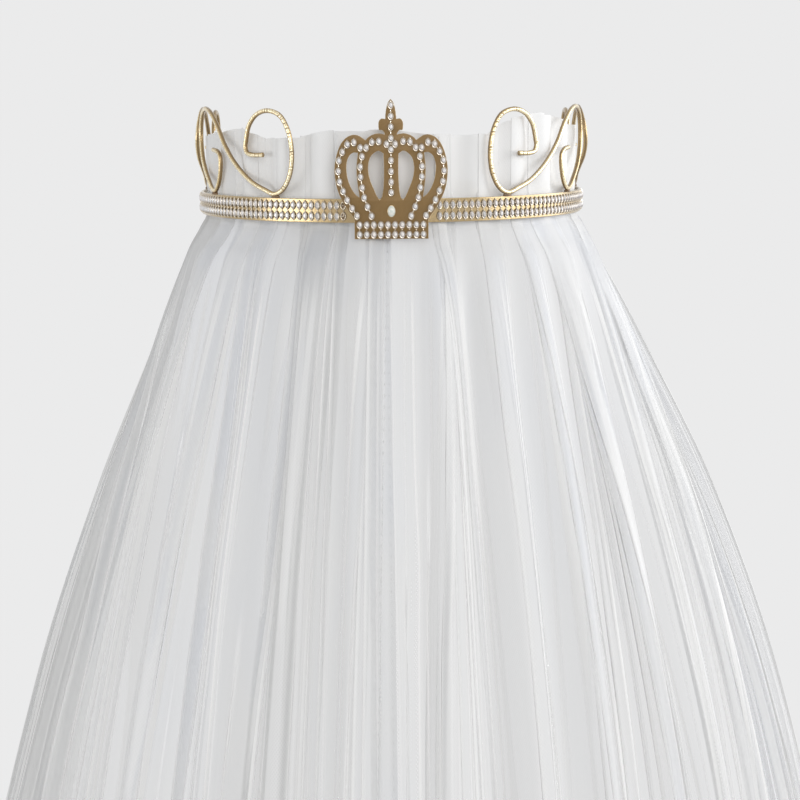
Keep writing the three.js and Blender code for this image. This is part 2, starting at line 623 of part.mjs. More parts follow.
// A closed thin shell round a grid of points, with half its thickness on either side
function clothShell(grid, thickness, side) {
  const rows = grid.length;
  const columns = grid[0].length;
  const normalAt = (row, column) => {
    const across = grid[row][Math.min(column + 1, columns - 1)].clone().sub(grid[row][Math.max(column - 1, 0)]);
    const down = grid[Math.min(row + 1, rows - 1)][column].clone().sub(grid[Math.max(row - 1, 0)][column]);
    return down.cross(across).normalize().multiplyScalar((side * thickness) / 2);
  };
  const points = [];
  const layer = (sign) => grid.map((line, row) => line.map((point, column) => {
    const moved = point.clone().addScaledVector(normalAt(row, column), sign);
    return points.push(moved) - 1;
  }));
  const outer = layer(1);
  const inner = layer(-1);
  const triangles = [];
  const quad = (a, b, c, d) => {
    const corners = side > 0 ? [a, b, c, d] : [d, c, b, a];
    triangles.push([corners[0], corners[1], corners[2]], [corners[0], corners[2], corners[3]]);
  };
  for (let row = 0; row < rows - 1; row += 1) {
    for (let column = 0; column < columns - 1; column += 1) {
      quad(outer[row][column], outer[row + 1][column], outer[row + 1][column + 1], outer[row][column + 1]);
      quad(inner[row][column], inner[row][column + 1], inner[row + 1][column + 1], inner[row + 1][column]);
    }
    quad(outer[row][0], inner[row][0], inner[row + 1][0], outer[row + 1][0]);
    const last = columns - 1;
    quad(outer[row][last], outer[row + 1][last], inner[row + 1][last], inner[row][last]);
  }
  for (let column = 0; column < columns - 1; column += 1) {
    quad(outer[0][column], outer[0][column + 1], inner[0][column + 1], inner[0][column]);
    const last = rows - 1;
    quad(outer[last][column], inner[last][column], inner[last][column + 1], outer[last][column + 1]);
  }
  return meshGeometry(points, triangles);
}

buildBand();
buildWallBar();
buildCornerWelds();
buildScrolls();
buildPlate();
buildSpacers();
buildPlateStones();
buildPearl();
addPiece("band_stones_left", stoneStrip(-1), CRYSTAL);
addPiece("band_stones_right", stoneStrip(1), CRYSTAL);
buildTapes();
addPiece("veil_left", veilPanel(-1), TULLE);
addPiece("veil_right", veilPanel(1), TULLE);

export default crown;
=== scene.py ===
# Looks of the bed crown canopy: gold half ring with wire scrolls, cut crown plate with stones and a pearl,
# and two gathered tulle panels. Metres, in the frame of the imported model: the wall is the plane y = 0,
# +Z is up and the front of the crown faces -Y.

import math

import bmesh
import bpy
import numpy as np
from mathutils import Matrix, Vector


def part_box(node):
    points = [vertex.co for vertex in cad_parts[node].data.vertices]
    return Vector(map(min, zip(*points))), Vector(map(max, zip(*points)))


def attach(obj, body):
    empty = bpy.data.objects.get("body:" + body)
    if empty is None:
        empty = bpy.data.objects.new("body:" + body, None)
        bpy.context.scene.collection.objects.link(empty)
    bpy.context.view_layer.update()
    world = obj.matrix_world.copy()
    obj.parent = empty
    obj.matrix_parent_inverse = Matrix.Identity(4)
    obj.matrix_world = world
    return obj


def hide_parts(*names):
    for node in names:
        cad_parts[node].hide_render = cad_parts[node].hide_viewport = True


MM = 0.001
SIDES = ((-1, "left"), (1, "right"))
SMOOTH_ANGLE = math.radians(40)
STONE_SMOOTH_ANGLE = math.radians(5)

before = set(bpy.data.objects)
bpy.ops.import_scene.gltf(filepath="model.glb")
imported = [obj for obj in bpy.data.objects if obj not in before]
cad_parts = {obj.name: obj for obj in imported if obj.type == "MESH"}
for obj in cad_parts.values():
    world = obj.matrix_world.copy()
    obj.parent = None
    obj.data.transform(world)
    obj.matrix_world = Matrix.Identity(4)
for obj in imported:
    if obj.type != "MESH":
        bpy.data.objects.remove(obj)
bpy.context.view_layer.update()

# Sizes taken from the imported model
band_low, band_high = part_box("crown_band")
bar_low, bar_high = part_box("wall_bar")
plate_low, plate_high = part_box("crown_plate")
hook_low, hook_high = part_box("hook_tape")
loop_low, loop_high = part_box("loop_tape_right")
veil_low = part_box("veil_right")[0]
pearl_low, pearl_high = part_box("pearl")
corner_low, corner_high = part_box("wall_weld_right")

RING_RADIUS = band_high.x
ARM_LENGTH = -band_low.y - RING_RADIUS
BAND_TOP = band_high.z
BAND_BOTTOM = band_low.z
BAND_HEIGHT = BAND_TOP - BAND_BOTTOM
WALL_BAR_THICKNESS = bar_high.y - bar_low.y
PLATE_WIDTH = plate_high.x - plate_low.x
PLATE_HEIGHT = plate_high.z - plate_low.z
PLATE_THICKNESS = plate_high.y - plate_low.y
PLATE_FRONT = plate_low.y
PLATE_BOTTOM = plate_low.z
QUARTER = math.pi / 2 * RING_RADIUS
HEM_HEIGHT = veil_low.z
FALL = BAND_BOTTOM - HEM_HEIGHT

# Band, wall bar and tapes
GAP = 0.3 * MM
BAND_THICKNESS = 3 * MM
BAND_EDGE_RADIUS = 0.5 * MM
BAND_END = QUARTER + ARM_LENGTH - WALL_BAR_THICKNESS - GAP
BAND_STATIONS = 220
EDGE_STEPS = 3
FLAT_SUPPORT = 0.5 * MM
PLATE_BEVEL_STEPS = 2
MERGE_DISTANCE = 0.002 * MM
SCREW_HOLE_RADIUS = 3.5 * MM
SCREW_SPACING = 300 * MM
TAPE_THICKNESS = 1.4 * MM
TAPE_END = QUARTER + hook_high.y + ARM_LENGTH
HOOK_OUTER = RING_RADIUS - BAND_THICKNESS - GAP
LOOP_OUTER = HOOK_OUTER - TAPE_THICKNESS - GAP
PANEL_PARTING = 1 * MM

# Wire scrolls: shares of a scroll's width along the band and of its height, from the curl in the first loop
# over that loop, up the long diagonal and round the second loop
WIRE_RADIUS = 2.3 * MM
WIRE_SIDES = 16
WIRE_STATIONS = 720
SCROLL_WIDTH = 171 * MM
SCROLL_HEIGHT = 80.5 * MM
FRONT_SCROLL_START = 98 * MM
REAR_SCROLL_END = BAND_END - 20.9 * MM
FRONT_SCROLL_BULGE = 1 * MM
REAR_SCROLL_BULGES = {-1: 4.5 * MM, 1: 6 * MM}
WELD_THICKNESS = 1.2 * MM
WELD_SIZE = Vector((9, 5.8, 5.4)) * MM
FIRST_WELD_SHARE = 0.115
SECOND_WELD_SHARE = 0.71
SCROLL_SHARES = [
    (0.198, 0.455), (0.292, 0.455), (0.33, 0.478), (0.344, 0.54), (0.336, 0.63), (0.31, 0.79),
    (0.249, 0.92), (0.165, 0.969),
    (0.076, 0.913), (0.02, 0.727), (0, 0.453), (0.018, 0.217), (0.065, 0.056), (0.122, 0),
    (0.2, 0.05), (0.288, 0.124), (0.374, 0.235), (0.47, 0.391), (0.565, 0.59), (0.647, 0.8),
    (0.749, 0.957), (0.861, 1), (0.953, 0.913), (1, 0.69), (0.96, 0.42), (0.9, 0.26),
    (0.831, 0.14), (0.75, 0.02), (0.7, 0), (0.648, 0.093), (0.614, 0.292), (0.619, 0.43),
    (0.65, 0.48), (0.719, 0.503),
]

# Crown plate: right half from the tip down, as runs of smooth edge between corners, in shares of its half
# width and of its height
PLATE_OUTLINE_SHARES = [
    [(0, 1), (0.046, 0.977), (0.078, 0.934), (0.094, 0.891), (0.098, 0.859)],
    [(0.098, 0.859), (0.164, 0.862), (0.208, 0.844), (0.218, 0.813), (0.203, 0.78), (0.159, 0.78),
     (0.117, 0.763), (0.109, 0.749)],
    [(0.109, 0.749), (0.153, 0.753), (0.237, 0.757), (0.34, 0.745), (0.409, 0.727), (0.447, 0.71)],
    [(0.447, 0.71), (0.509, 0.728), (0.57, 0.743), (0.658, 0.749), (0.763, 0.735), (0.851, 0.703),
     (0.922, 0.653), (0.969, 0.592), (0.998, 0.528), (1, 0.471), (0.973, 0.386), (0.929, 0.329),
     (0.868, 0.276), (0.78, 0.215), (0.706, 0.173), (0.66, 0.144)],
    [(0.66, 0.144), (0.658, 0)],
]
INNER_WINDOW_SHARES = [
    [(0.134, 0.614), (0.216, 0.633), (0.321, 0.61), (0.375, 0.578), (0.402, 0.528), (0.402, 0.486),
     (0.375, 0.429), (0.321, 0.372), (0.26, 0.315), (0.208, 0.28)],
    [(0.208, 0.28), (0.172, 0.301), (0.145, 0.351), (0.132, 0.422), (0.128, 0.528), (0.134, 0.614)],
]
OUTER_WINDOW_SHARES = [
    [(0.585, 0.62), (0.665, 0.621), (0.727, 0.603), (0.765, 0.575), (0.788, 0.528), (0.782, 0.471),
     (0.753, 0.414), (0.692, 0.358), (0.621, 0.319), (0.562, 0.302)],
    [(0.562, 0.302), (0.585, 0.365), (0.606, 0.436), (0.612, 0.507), (0.598, 0.578), (0.585, 0.62)],
]
PLATE_EDGE_RADIUS = 0.45 * MM
EDGE_SUBDIVISIONS = 5

# Stones on the plate: shares of its half width and of its height
MIDDLE_STONE_SHARES = [
    (0, 0.955), (0, 0.877), (0, 0.802), (0, 0.721), (0, 0.642), (0, 0.564), (0, 0.486), (0, 0.411),
    (0, 0.336),
]
CROSS_STONE_SHARES = [(-0.076, 0.681), (0.076, 0.681)]
TOP_STONE_SHARES = [(0.215, 0.7), (0.335, 0.695), (0.436, 0.656), (0.54, 0.656)]
OUTER_STONE_SHARES = [
    (0.652, 0.694), (0.769, 0.68), (0.857, 0.626), (0.921, 0.564), (0.934, 0.489), (0.914, 0.414),
    (0.853, 0.347), (0.784, 0.282), (0.696, 0.222), (0.612, 0.169),
]
INNER_STONE_SHARES = [
    (0.511, 0.593), (0.545, 0.52), (0.541, 0.447), (0.514, 0.37), (0.48, 0.299), (0.423, 0.233),
    (0.352, 0.167),
]
BASE_STONE_PITCH = 6.6 * MM
BASE_STONE_COUNT = 10
BASE_ROW_FIRST = 4.2 * MM
BASE_ROW_PITCH = 9 * MM
STONE_RISE = 2.2 * MM
PLATE_STONE_SIZE = (4.7 * MM, 6.0 * MM)
STRIP_STONE_SIZE = (4.4 * MM, 6.7 * MM)
STRIP_PITCH = 6.4 * MM
STRIP_ROW_PITCH = 9.9 * MM
STRIP_START = 42 * MM
STRIP_END_MARGIN = 14 * MM
EMPTY_SETTINGS = 1

# Veil rows below the band: share of the drop, share of the way out to the hem, share of the fold depth
DRAPE_SHARES = [
    (0.0039, 0.012, 0.08), (0.01, 0.036, 0.1), (0.022, 0.084, 0.18), (0.05, 0.137, 0.28), (0.1, 0.215, 0.4),
    (0.183, 0.348, 0.55), (0.311, 0.52, 0.7), (0.5, 0.71, 0.84), (0.722, 0.865, 0.93), (1, 1, 1),
]
FOLD_COUNT = 10.5
FOLD_DEPTH = 30 * MM
HEADING_FOLD_DEPTH = 4 * MM
GATHER_FOLD_DEPTH = 2.2 * MM
LAP_OFFSET = 1.2 * MM
LAP_FOLD_SHARE = 0.25
LAP_FADE_SHARE = 0.06
CLOTH_WIDTH = 1.8
HEM_HALF_WIDTH = 640 * MM
HEM_REACH = 700 * MM
HEM_ROUNDNESS = 2.2
WALL_MARGIN = 12 * MM
HEADING_HEIGHT = 63 * MM
GATHER_RADIUS = 190.5 * MM
PLATE_PRESS_LENGTH = 55 * MM
PLATE_PRESS_SHARE = 0.6
CLOTH_COLUMNS = 1050
HEADING_SMOOTHING = 6
WIDE_PLEATS = 26
NARROW_PLEATS = 50
SIDE_START = 200 * MM
SIDE_FULL = 310 * MM
SIDE_DRAPES = {-1: (15 * MM, 0), 1: (28 * MM, 44 * MM)}
TUCK_SPREAD = 0.11
# Along each panel from the front: how dense the net lies, and its painted light and shade, grey in shade and white
# where lit
COVER_SHARES = {
    -1: [(0, 1.2), (0.3, 1.15), (0.45, 1), (0.6, 1.2), (1, 1.35)],
    1: [(0, 1.05), (0.3, 0.95), (0.55, 0.55), (1, 0.5)],
}
PAINTED_PANEL_LIGHT_SHARES = {
    -1: [(0, 0.65), (0.08, 0.2), (0.19, 0.15), (0.26, 0.75), (0.42, 0.98), (0.52, 0.5), (0.6, 0.15), (1, 0.15)],
    1: [(0, 0.62), (0.18, 0.55), (0.28, 0.85), (0.4, 1), (1, 1)],
}
STEP_START = 300 * MM
STEP_END = 395 * MM
STEP_DEPTH = 13 * MM

# Heading's top edge above the band's lower edge: distance round the band from the middle, and height
HEADING_TOPS = {
    -1: [(0, 85), (56, 84), (101, 80), (140, 77), (168, 86), (209, 82), (314, 79), (400, 84), (482, 80)],
    1: [(0, 85), (56, 79), (101, 79), (126, 94), (168, 99), (209, 97), (262, 88), (314, 84), (482, 82)],
}
# Front edge of each panel past the middle: at the band, and at the hem
FRONT_LAPS = {-1: (1 * MM, 2 * MM), 1: (2 * MM, 32 * MM)}

# Camera: a long lens a little above the ring, tipped down
CAMERA_PLACE = Vector((0, -1780, 88.4)) * MM
CAMERA_LENS = 67.2
CAMERA_SENSOR = 36
CAMERA_PITCH = math.radians(10.83)
CAMERA_HEADING = math.radians(0.273)
CAMERA_ROLL = math.radians(-0.424)

BACKGROUND = (0.83, 0.83, 0.832, 1)
AMBIENT_LEVEL = 0.49
MANY_SHEER_LAYERS = 48


# Meshes

def finish_mesh(name, mesh, material, smooth_angle=SMOOTH_ANGLE):
    mesh.name = name
    mesh.polygons.foreach_set("use_smooth", [True] * len(mesh.polygons))
    mesh.set_sharp_from_angle(angle=smooth_angle)
    mesh.materials.clear()
    mesh.materials.append(material)
    piece = bpy.data.objects.new(name, mesh)
    bpy.context.scene.collection.objects.link(piece)
    return piece


def grid_mesh(name, points, closed_across=False, closed_along=False, caps=False):
    """A mesh over a grid of points, given as [station][corner]; corners wrap round where closed_across."""
    stations, corners = points.shape[:2]
    index = np.arange(stations * corners).reshape(stations, corners)
    if closed_across:
        index = np.concatenate([index, index[:, :1]], axis=1)
    if closed_along:
        index = np.concatenate([index, index[:1]], axis=0)
    faces = np.stack([index[:-1, :-1], index[:-1, 1:], index[1:, 1:], index[1:, :-1]], axis=-1)
    face_list = faces.reshape(-1, 4).tolist()
    if caps:
        face_list.append(list(range(corners))[::-1])
        face_list.append(list(range((stations - 1) * corners, stations * corners)))
    mesh = bpy.data.meshes.new(name)
    mesh.from_pydata(points.reshape(-1, 3).tolist(), [], face_list)
    mesh.update()
    return mesh


def outward(mesh):
    work = bmesh.new()
    work.from_mesh(mesh)
    bmesh.ops.recalc_face_normals(work, faces=work.faces)
    work.to_mesh(mesh)
    work.free()
    return mesh


def mesh_from_work(name, work):
    mesh = bpy.data.meshes.new(name)
    work.to_mesh(mesh)
    work.free()
    return mesh


def smooth_step(values):
    limited = np.clip(values, 0, 1)
    return limited ** 2 * (3 - 2 * limited)


def spline_points(controls, subdivisions):
    """Points on a centripetal Catmull-Rom spline through the control points."""
    controls = np.asarray(controls, float)
    padded = np.vstack([2 * controls[0] - controls[1], controls, 2 * controls[-1] - controls[-2]])
    spans = np.sqrt(np.linalg.norm(np.diff(padded, axis=0), axis=1))
    points = []
    for number in range(1, len(padded) - 2):
        before, start, end, after = padded[number - 1:number + 3]
        first, middle, last = spans[number - 1:number + 2]
        leave = ((start - before) / first - (end - before) / (first + middle)) * middle + (end - start)
        arrive = ((after - end) / last - (after - start) / (middle + last)) * middle + (end - start)
        for step in range(subdivisions):
            t = step / subdivisions
            points.append(
                start + leave * t + (3 * (end - start) - 2 * leave - arrive) * t ** 2
                + (2 * (start - end) + leave + arrive) * t ** 3
            )
    points.append(controls[-1])
    return np.array(points)


def even_points(points, count):
    """The same line, as that many points at even distances."""
    lengths = np.concatenate([[0], np.cumsum(np.linalg.norm(np.diff(points, axis=0), axis=1))])
    wanted = np.linspace(0, lengths[-1], count)
    return np.stack([np.interp(wanted, lengths, points[:, axis]) for axis in range(points.shape[1])], axis=1)


def flat_plate(name, outline, windows, thickness, edge_radius, material):
    """A plate standing in the XZ plane with its back on y = 0, windows cut through and rounded edges."""
    drawing = bpy.data.curves.new(name, "CURVE")
    drawing.dimensions = "2D"
    drawing.fill_mode = "BOTH"
    drawing.extrude = thickness / 2 - edge_radius
    drawing.bevel_depth = edge_radius
    drawing.bevel_resolution = PLATE_BEVEL_STEPS
    drawing.offset = -edge_radius
    for loop in [outline, *windows]:
        line = drawing.splines.new("POLY")
        line.points.add(len(loop) - 1)
        line.points.foreach_set("co", np.array([(x, y, 0, 1) for x, y in loop]).ravel())
        line.use_cyclic_u = True
    holder = bpy.data.objects.new(name, drawing)
    bpy.context.scene.collection.objects.link(holder)
    mesh = bpy.data.meshes.new_from_object(holder.evaluated_get(bpy.context.evaluated_depsgraph_get()))
    bpy.data.objects.remove(holder)
    bpy.data.curves.remove(drawing)
    mesh.transform(Matrix.Translation((0, -thickness / 2, 0)) @ Matrix.Rotation(math.pi / 2, 4, "X"))
    work = bmesh.new()
    work.from_mesh(mesh)
    bmesh.ops.remove_doubles(work, verts=work.verts, dist=MERGE_DISTANCE)
    bmesh.ops.recalc_face_normals(work, faces=work.faces)
    work.to_mesh(mesh)
    work.free()
    return finish_mesh(name, mesh, material)


# Places along the band: run is measured on the ring's outer face from the middle of the front, positive to
# the right; radius is the distance from the ring's centre line or from the arms' middle plane

def band_place(run, radius, height):
    side = 1 if run >= 0 else -1
    length = abs(run)
    if length <= QUARTER:
        angle = length / RING_RADIUS
        return Vector((side * radius * math.sin(angle), -ARM_LENGTH - radius * math.cos(angle), height))
    return Vector((side * radius, -ARM_LENGTH + length - QUARTER, height))


def band_facing(run):
    return (band_place(run, 1, 0) - band_place(run, 0, 0)).normalized()


def rounded_section(thickness, height, edge_radius):
    """Corners of a rounded rectangle, with a point on each flat side that keeps it flat in the shading:
    distance inwards from the outer face, and height."""
    corners = []
    turns = [(0, -1, 180), (1, -1, 270), (1, 1, 0), (0, 1, 90)]
    for inner, upper, first in turns:
        centre_depth = edge_radius if inner == 0 else thickness - edge_radius
        centre_height = upper * (height / 2 - edge_radius)
        arc = []
        for step in range(EDGE_STEPS + 1):
            angle = math.radians(first + 90 * step / EDGE_STEPS)
            arc.append((centre_depth + edge_radius * math.cos(angle), centre_height + edge_radius * math.sin(angle)))
        on_flat = (inner * thickness, centre_height - upper * FLAT_SUPPORT)
        starts_flat = inner == (upper > 0)
        corners += [on_flat, *arc] if starts_flat else [*arc, on_flat]
    return corners


def band_ribbon(name, outer_radius, thickness, height, edge_radius, start, end, material):
    """A strip that follows the band, with rounded edges."""
    section = rounded_section(thickness, height, edge_radius)
    points = np.array([
        [band_place(run, outer_radius - depth, level) for depth, level in section]
        for run in np.linspace(start, end, BAND_STATIONS)
    ])
    mesh = outward(grid_mesh(name, points, closed_across=True, caps=True))
    return finish_mesh(name, mesh, material)


# Node trees

def add_node(tree, kind, sockets=None, **settings):
    made = tree.nodes.new(kind)
    for name, value in settings.items():
        setattr(made, name, value)
    for key, value in (sockets or {}).items():
        if isinstance(value, bpy.types.NodeSocket):
            tree.links.new(value, made.inputs[key])
        else:
            made.inputs[key].default_value = value
    return made


def calculate(tree, operation, first, second=0.0, third=None, clamp=False):
    sockets = {0: first, 1: second}
    if third is not None:
        sockets[2] = third
    return add_node(tree, "ShaderNodeMath", sockets, operation=operation, use_clamp=clamp).outputs[0]


def blend_colors(tree, factor, first, second, blend_type="MIX"):
    sockets = {0: factor, 6: first, 7: second}
    mixed = add_node(tree, "ShaderNodeMix", sockets, data_type="RGBA", blend_type=blend_type)
    return mixed.outputs[2]


def remap(tree, value, low, high, to_low=0.0, to_high=1.0):
    sockets = {"Value": value, "From Min": low, "From Max": high, "To Min": to_low, "To Max": to_high}
    return add_node(tree, "ShaderNodeMapRange", sockets).outputs[0]


def noise(tree, vector, scale, detail=3.0, roughness=0.55):
    sockets = {"Vector": vector, "Scale": scale, "Detail": detail, "Roughness": roughness}
    return add_node(tree, "ShaderNodeTexNoise", sockets).outputs[0]


def vector_math(tree, operation, first, second=None, scale=None, output="Vector"):
    sockets = {0: first}
    if second is not None:
        sockets[1] = second
    if scale is not None:
        sockets[3] = scale
    return add_node(tree, "ShaderNodeVectorMath", sockets, operation=operation).outputs[output]


def stretched(tree, vector, scale):
    return add_node(tree, "ShaderNodeMapping", {"Vector": vector, "Scale": scale}).outputs[0]


def add_inputs(tree, inputs):
    for label, kind, value in inputs:
        socket = tree.interface.new_socket(label, in_out="INPUT", socket_type=f"NodeSocket{kind}")
        if value is not None:
            socket.default_value = value


def tree_ends(tree):
    """A group's tree, its input sockets by name and its output node."""
    entry = tree.nodes.new("NodeGroupInput")
    given = {socket.name: socket for socket in entry.outputs if socket.name}
    return tree, given, tree.nodes.new("NodeGroupOutput")


def shader_group(name, inputs, outputs):
    """An empty shader node group with named sockets."""
    tree = bpy.data.node_groups.new(name, "ShaderNodeTree")
    add_inputs(tree, inputs)
    for label, kind in outputs:
        tree.interface.new_socket(label, in_out="OUTPUT", socket_type=f"NodeSocket{kind}")
    return tree_ends(tree)


def aged_metal_group():
    """Colour clouds, darker spots, a fine grain and a varied roughness for painted and plated metal."""
    tree, given, out = shader_group("aged_metal", [
        ("Coordinates", "Vector", None), ("Color", "Color", None), ("Shade Color", "Color", None),
        ("Shade Amount", "Float", 0.4), ("Cloud Scale", "Float", 60.0), ("Spot Amount", "Float", 0.3),
        ("Grain Scale", "Float", 2500.0), ("Roughness", "Float", 0.35), ("Roughness Spread", "Float", 0.12),
    ], [("Color", "Color"), ("Roughness", "Float"), ("Height", "Float")])
    clouds = noise(tree, given["Coordinates"], given["Cloud Scale"], detail=5.0, roughness=0.6)
    cloud_mask = remap(tree, clouds, 0.42, 0.68)
    grain = noise(tree, given["Coordinates"], given["Grain Scale"], detail=2.0)
    spot_scale = calculate(tree, "MULTIPLY", given["Cloud Scale"], 9.0)
    spots = remap(tree, noise(tree, given["Coordinates"], spot_scale, detail=2.0), 0.66, 0.74)
    shade = calculate(tree, "MULTIPLY", cloud_mask, given["Shade Amount"])
    spot_share = calculate(tree, "MULTIPLY", spots, given["Spot Amount"])
    darkness = calculate(tree, "ADD", shade, spot_share, clamp=True)
    tree.links.new(blend_colors(tree, darkness, given["Color"], given["Shade Color"]), out.inputs["Color"])
    swing = calculate(tree, "SUBTRACT", calculate(tree, "ADD", clouds, grain), 1.0)
    rough = calculate(tree, "MULTIPLY_ADD", swing, given["Roughness Spread"], given["Roughness"], clamp=True)
    tree.links.new(rough, out.inputs["Roughness"])
    tree.links.new(calculate(tree, "MULTIPLY_ADD", spots, -0.6, grain), out.inputs["Height"])
    return tree


def brush_lines_group():
    """Fine drawn lines along one direction of the surface."""
    tree, given, out = shader_group("brush_lines", [
        ("Coordinates", "Vector", None), ("Stretch", "Vector", (1.0, 1.0, 1.0)), ("Scale", "Float", 800.0),
    ], [("Height", "Float")])
    drawn = vector_math(tree, "MULTIPLY", given["Coordinates"], given["Stretch"])
    lines = noise(tree, drawn, given["Scale"], detail=4.0, roughness=0.7)
    tree.links.new(lines, out.inputs["Height"])
    return tree


def rubbing_and_highlight_group():
    """Lighter metal where a mask says so, broken up by noise: rubbing on the band's edges, a painted highlight along
    the wires, and both on the plate's rim.
    """
    tree, given, out = shader_group("rubbing_and_painted_highlight", [
        ("Coordinates", "Vector", None), ("Mask", "Float", 0.0), ("Color", "Color", None),
        ("Rub And Highlight Color", "Color", None), ("Amount", "Float", 0.6), ("Scale", "Float", 900.0),
    ], [("Color", "Color")])
    broken = remap(tree, noise(tree, given["Coordinates"], given["Scale"], detail=4.0), 0.35, 0.6)
    rubbed = calculate(tree, "MULTIPLY", given["Mask"], broken)
    rub_and_highlight_amount = calculate(tree, "MULTIPLY", rubbed, given["Amount"], clamp=True)
    tree.links.new(blend_colors(tree, rub_and_highlight_amount, given["Color"], given["Rub And Highlight Color"]), out.inputs["Color"])
    return tree


def thread_net_group():
    """Crossing threads on a piece's own cloth map: a mask of thread against hole, and their height."""
    tree, given, out = shader_group("thread_net", [
        ("Cloth Map", "Vector", None), ("Pitch", "Float", 0.0014), ("Slant", "Float", 0.5),
    ], [("Threads", "Float"), ("Height", "Float")])
    parts = add_node(tree, "ShaderNodeSeparateXYZ", {0: given["Cloth Map"]})
    turns = calculate(tree, "DIVIDE", 2 * math.pi, given["Pitch"])
    leaning = calculate(tree, "MULTIPLY", parts.outputs[1], given["Slant"])
    waves = []
    for operation in ("ADD", "SUBTRACT"):
        across = calculate(tree, operation, parts.outputs[0], leaning)
        waves.append(calculate(tree, "SINE", calculate(tree, "MULTIPLY", across, turns)))
    height = calculate(tree, "MAXIMUM", *waves)
    tree.links.new(remap(tree, height, 0.1, 0.9), out.inputs["Threads"])
    tree.links.new(height, out.inputs["Height"])
    return tree


def spread_cloth_map(tree, given):
    """The cloth map, spread by a group's own scales across and along the cloth."""
    scales = add_node(tree, "ShaderNodeCombineXYZ", {0: given["Across"], 1: given["Along"], 2: 1.0}).outputs[0]
    return vector_math(tree, "MULTIPLY", given["Cloth Map"], scales)


def streaks_group():
    """Soft creases that run down a hanging cloth, on its own cloth map: the tulle thickens and paints lighter along
    them.
    """
    tree, given, out = shader_group("cloth_streaks", [
        ("Cloth Map", "Vector", None), ("Across", "Float", 120.0), ("Along", "Float", 1.2),
    ], [("Streaks", "Float")])
    drawn = spread_cloth_map(tree, given)
    wide = noise(tree, drawn, 1.0, detail=3.0, roughness=0.6)
    fine = noise(tree, drawn, 4.7, detail=2.0, roughness=0.5)
    both = calculate(tree, "MULTIPLY_ADD", fine, 0.4, calculate(tree, "MULTIPLY", wide, 0.6))
    tree.links.new(remap(tree, both, 0.36, 0.64), out.inputs["Streaks"])
    return tree


def creases_group():
    """Long pointed loops where two layers of a sheer cloth lie on each other, on its own cloth map: the lines
    that edge them, which the tulle thickens and paints as highlights, and the mask of what lies between."""
    tree, given, out = shader_group("cloth_creases", [
        ("Cloth Map", "Vector", None), ("Across", "Float", 28.0), ("Along", "Float", 0.55), ("Level", "Float", 0.5),
        ("Line Width", "Float", 0.012),
    ], [("Lines", "Float"), ("Layers", "Float")])
    field = calculate(tree, "SUBTRACT", noise(tree, spread_cloth_map(tree, given), 1.0, detail=0.0), given["Level"])
    near = calculate(tree, "DIVIDE", calculate(tree, "ABSOLUTE", field), given["Line Width"])
    tree.links.new(remap(tree, near, 0.5, 1.0, 1.0, 0.0), out.inputs["Lines"])
    inside = calculate(tree, "DIVIDE", field, given["Line Width"])
    tree.links.new(remap(tree, inside, -0.5, 0.5), out.inputs["Layers"])
    return tree


AGED_METAL = aged_metal_group()
BRUSH_LINES = brush_lines_group()
RUBBING_AND_HIGHLIGHT = rubbing_and_highlight_group()
THREAD_NET = thread_net_group()
STREAKS = streaks_group()
CREASES = creases_group()


def new_material(name):
    """A material with a Principled shader: its tree, the shader and the object coordinates."""
    material = bpy.data.materials.new(name)
    material.use_nodes = True
    tree = material.node_tree
    tree.nodes.clear()
    shader = tree.nodes.new("ShaderNodeBsdfPrincipled")
    output = tree.nodes.new("ShaderNodeOutputMaterial")
    tree.links.new(shader.outputs[0], output.inputs[0])
    coordinates = tree.nodes.new("ShaderNodeTexCoord").outputs["Object"]
    return material, tree, shader, coordinates


def use_group(tree, group, sockets):
    return add_node(tree, "ShaderNodeGroup", sockets, node_tree=group).outputs


def attribute(tree, name, output="Fac"):
    return add_node(tree, "ShaderNodeAttribute", attribute_name=name).outputs[output]


def bump(tree, shader, height, distance):
    made = add_node(tree, "ShaderNodeBump", {"Height": height, "Distance": distance})
    tree.links.new(made.outputs[0], shader.inputs["Normal"])


METAL_COAT_ROUGHNESS = 0.28


def metal_material(name, color, shade, metallic, roughness, values):
    """Painted or plated metal: clouds and grain, brush lines, rubbed edges and painted highlights, and painted shade
    where a mask says so.
    """
    material, tree, shader, coordinates = new_material(name)
    metal = use_group(tree, AGED_METAL, {
        "Coordinates": coordinates, "Color": color, "Shade Color": shade, "Roughness": roughness,
        "Shade Amount": values["shade"], "Cloud Scale": values["clouds"], "Spot Amount": values["spots"],
        "Grain Scale": values["grain"], "Roughness Spread": values["spread"],
    })
    lines = use_group(tree, BRUSH_LINES, {
        "Coordinates": coordinates, "Stretch": values["stretch"], "Scale": values["lines"],
    })
    rubbed_and_highlit = use_group(tree, RUBBING_AND_HIGHLIGHT, {
        "Coordinates": coordinates, "Mask": attribute(tree, "rubbed_and_highlit"), "Color": metal["Color"],
        "Rub And Highlight Color": values["rub_and_highlight_color"], "Amount": values["rub_and_highlight_amount"],
    })
    # Painted shade: wire flanks and notches, and the cups' floors and feet
    with_painted_shade = blend_colors(tree, attribute(tree, "painted_shade"), rubbed_and_highlit["Color"], values["painted_shade_color"])
    tree.links.new(with_painted_shade, shader.inputs["Base Color"])
    tree.links.new(metal["Roughness"], shader.inputs["Roughness"])
    shader.inputs["Metallic"].default_value = metallic
    shader.inputs["Coat Weight"].default_value = values["coat"]
    shader.inputs["Coat Roughness"].default_value = METAL_COAT_ROUGHNESS
    height = calculate(tree, "MULTIPLY_ADD", lines["Height"], values["line_height"], metal["Height"])
    bump(tree, shader, height, values["depth"])
    return material
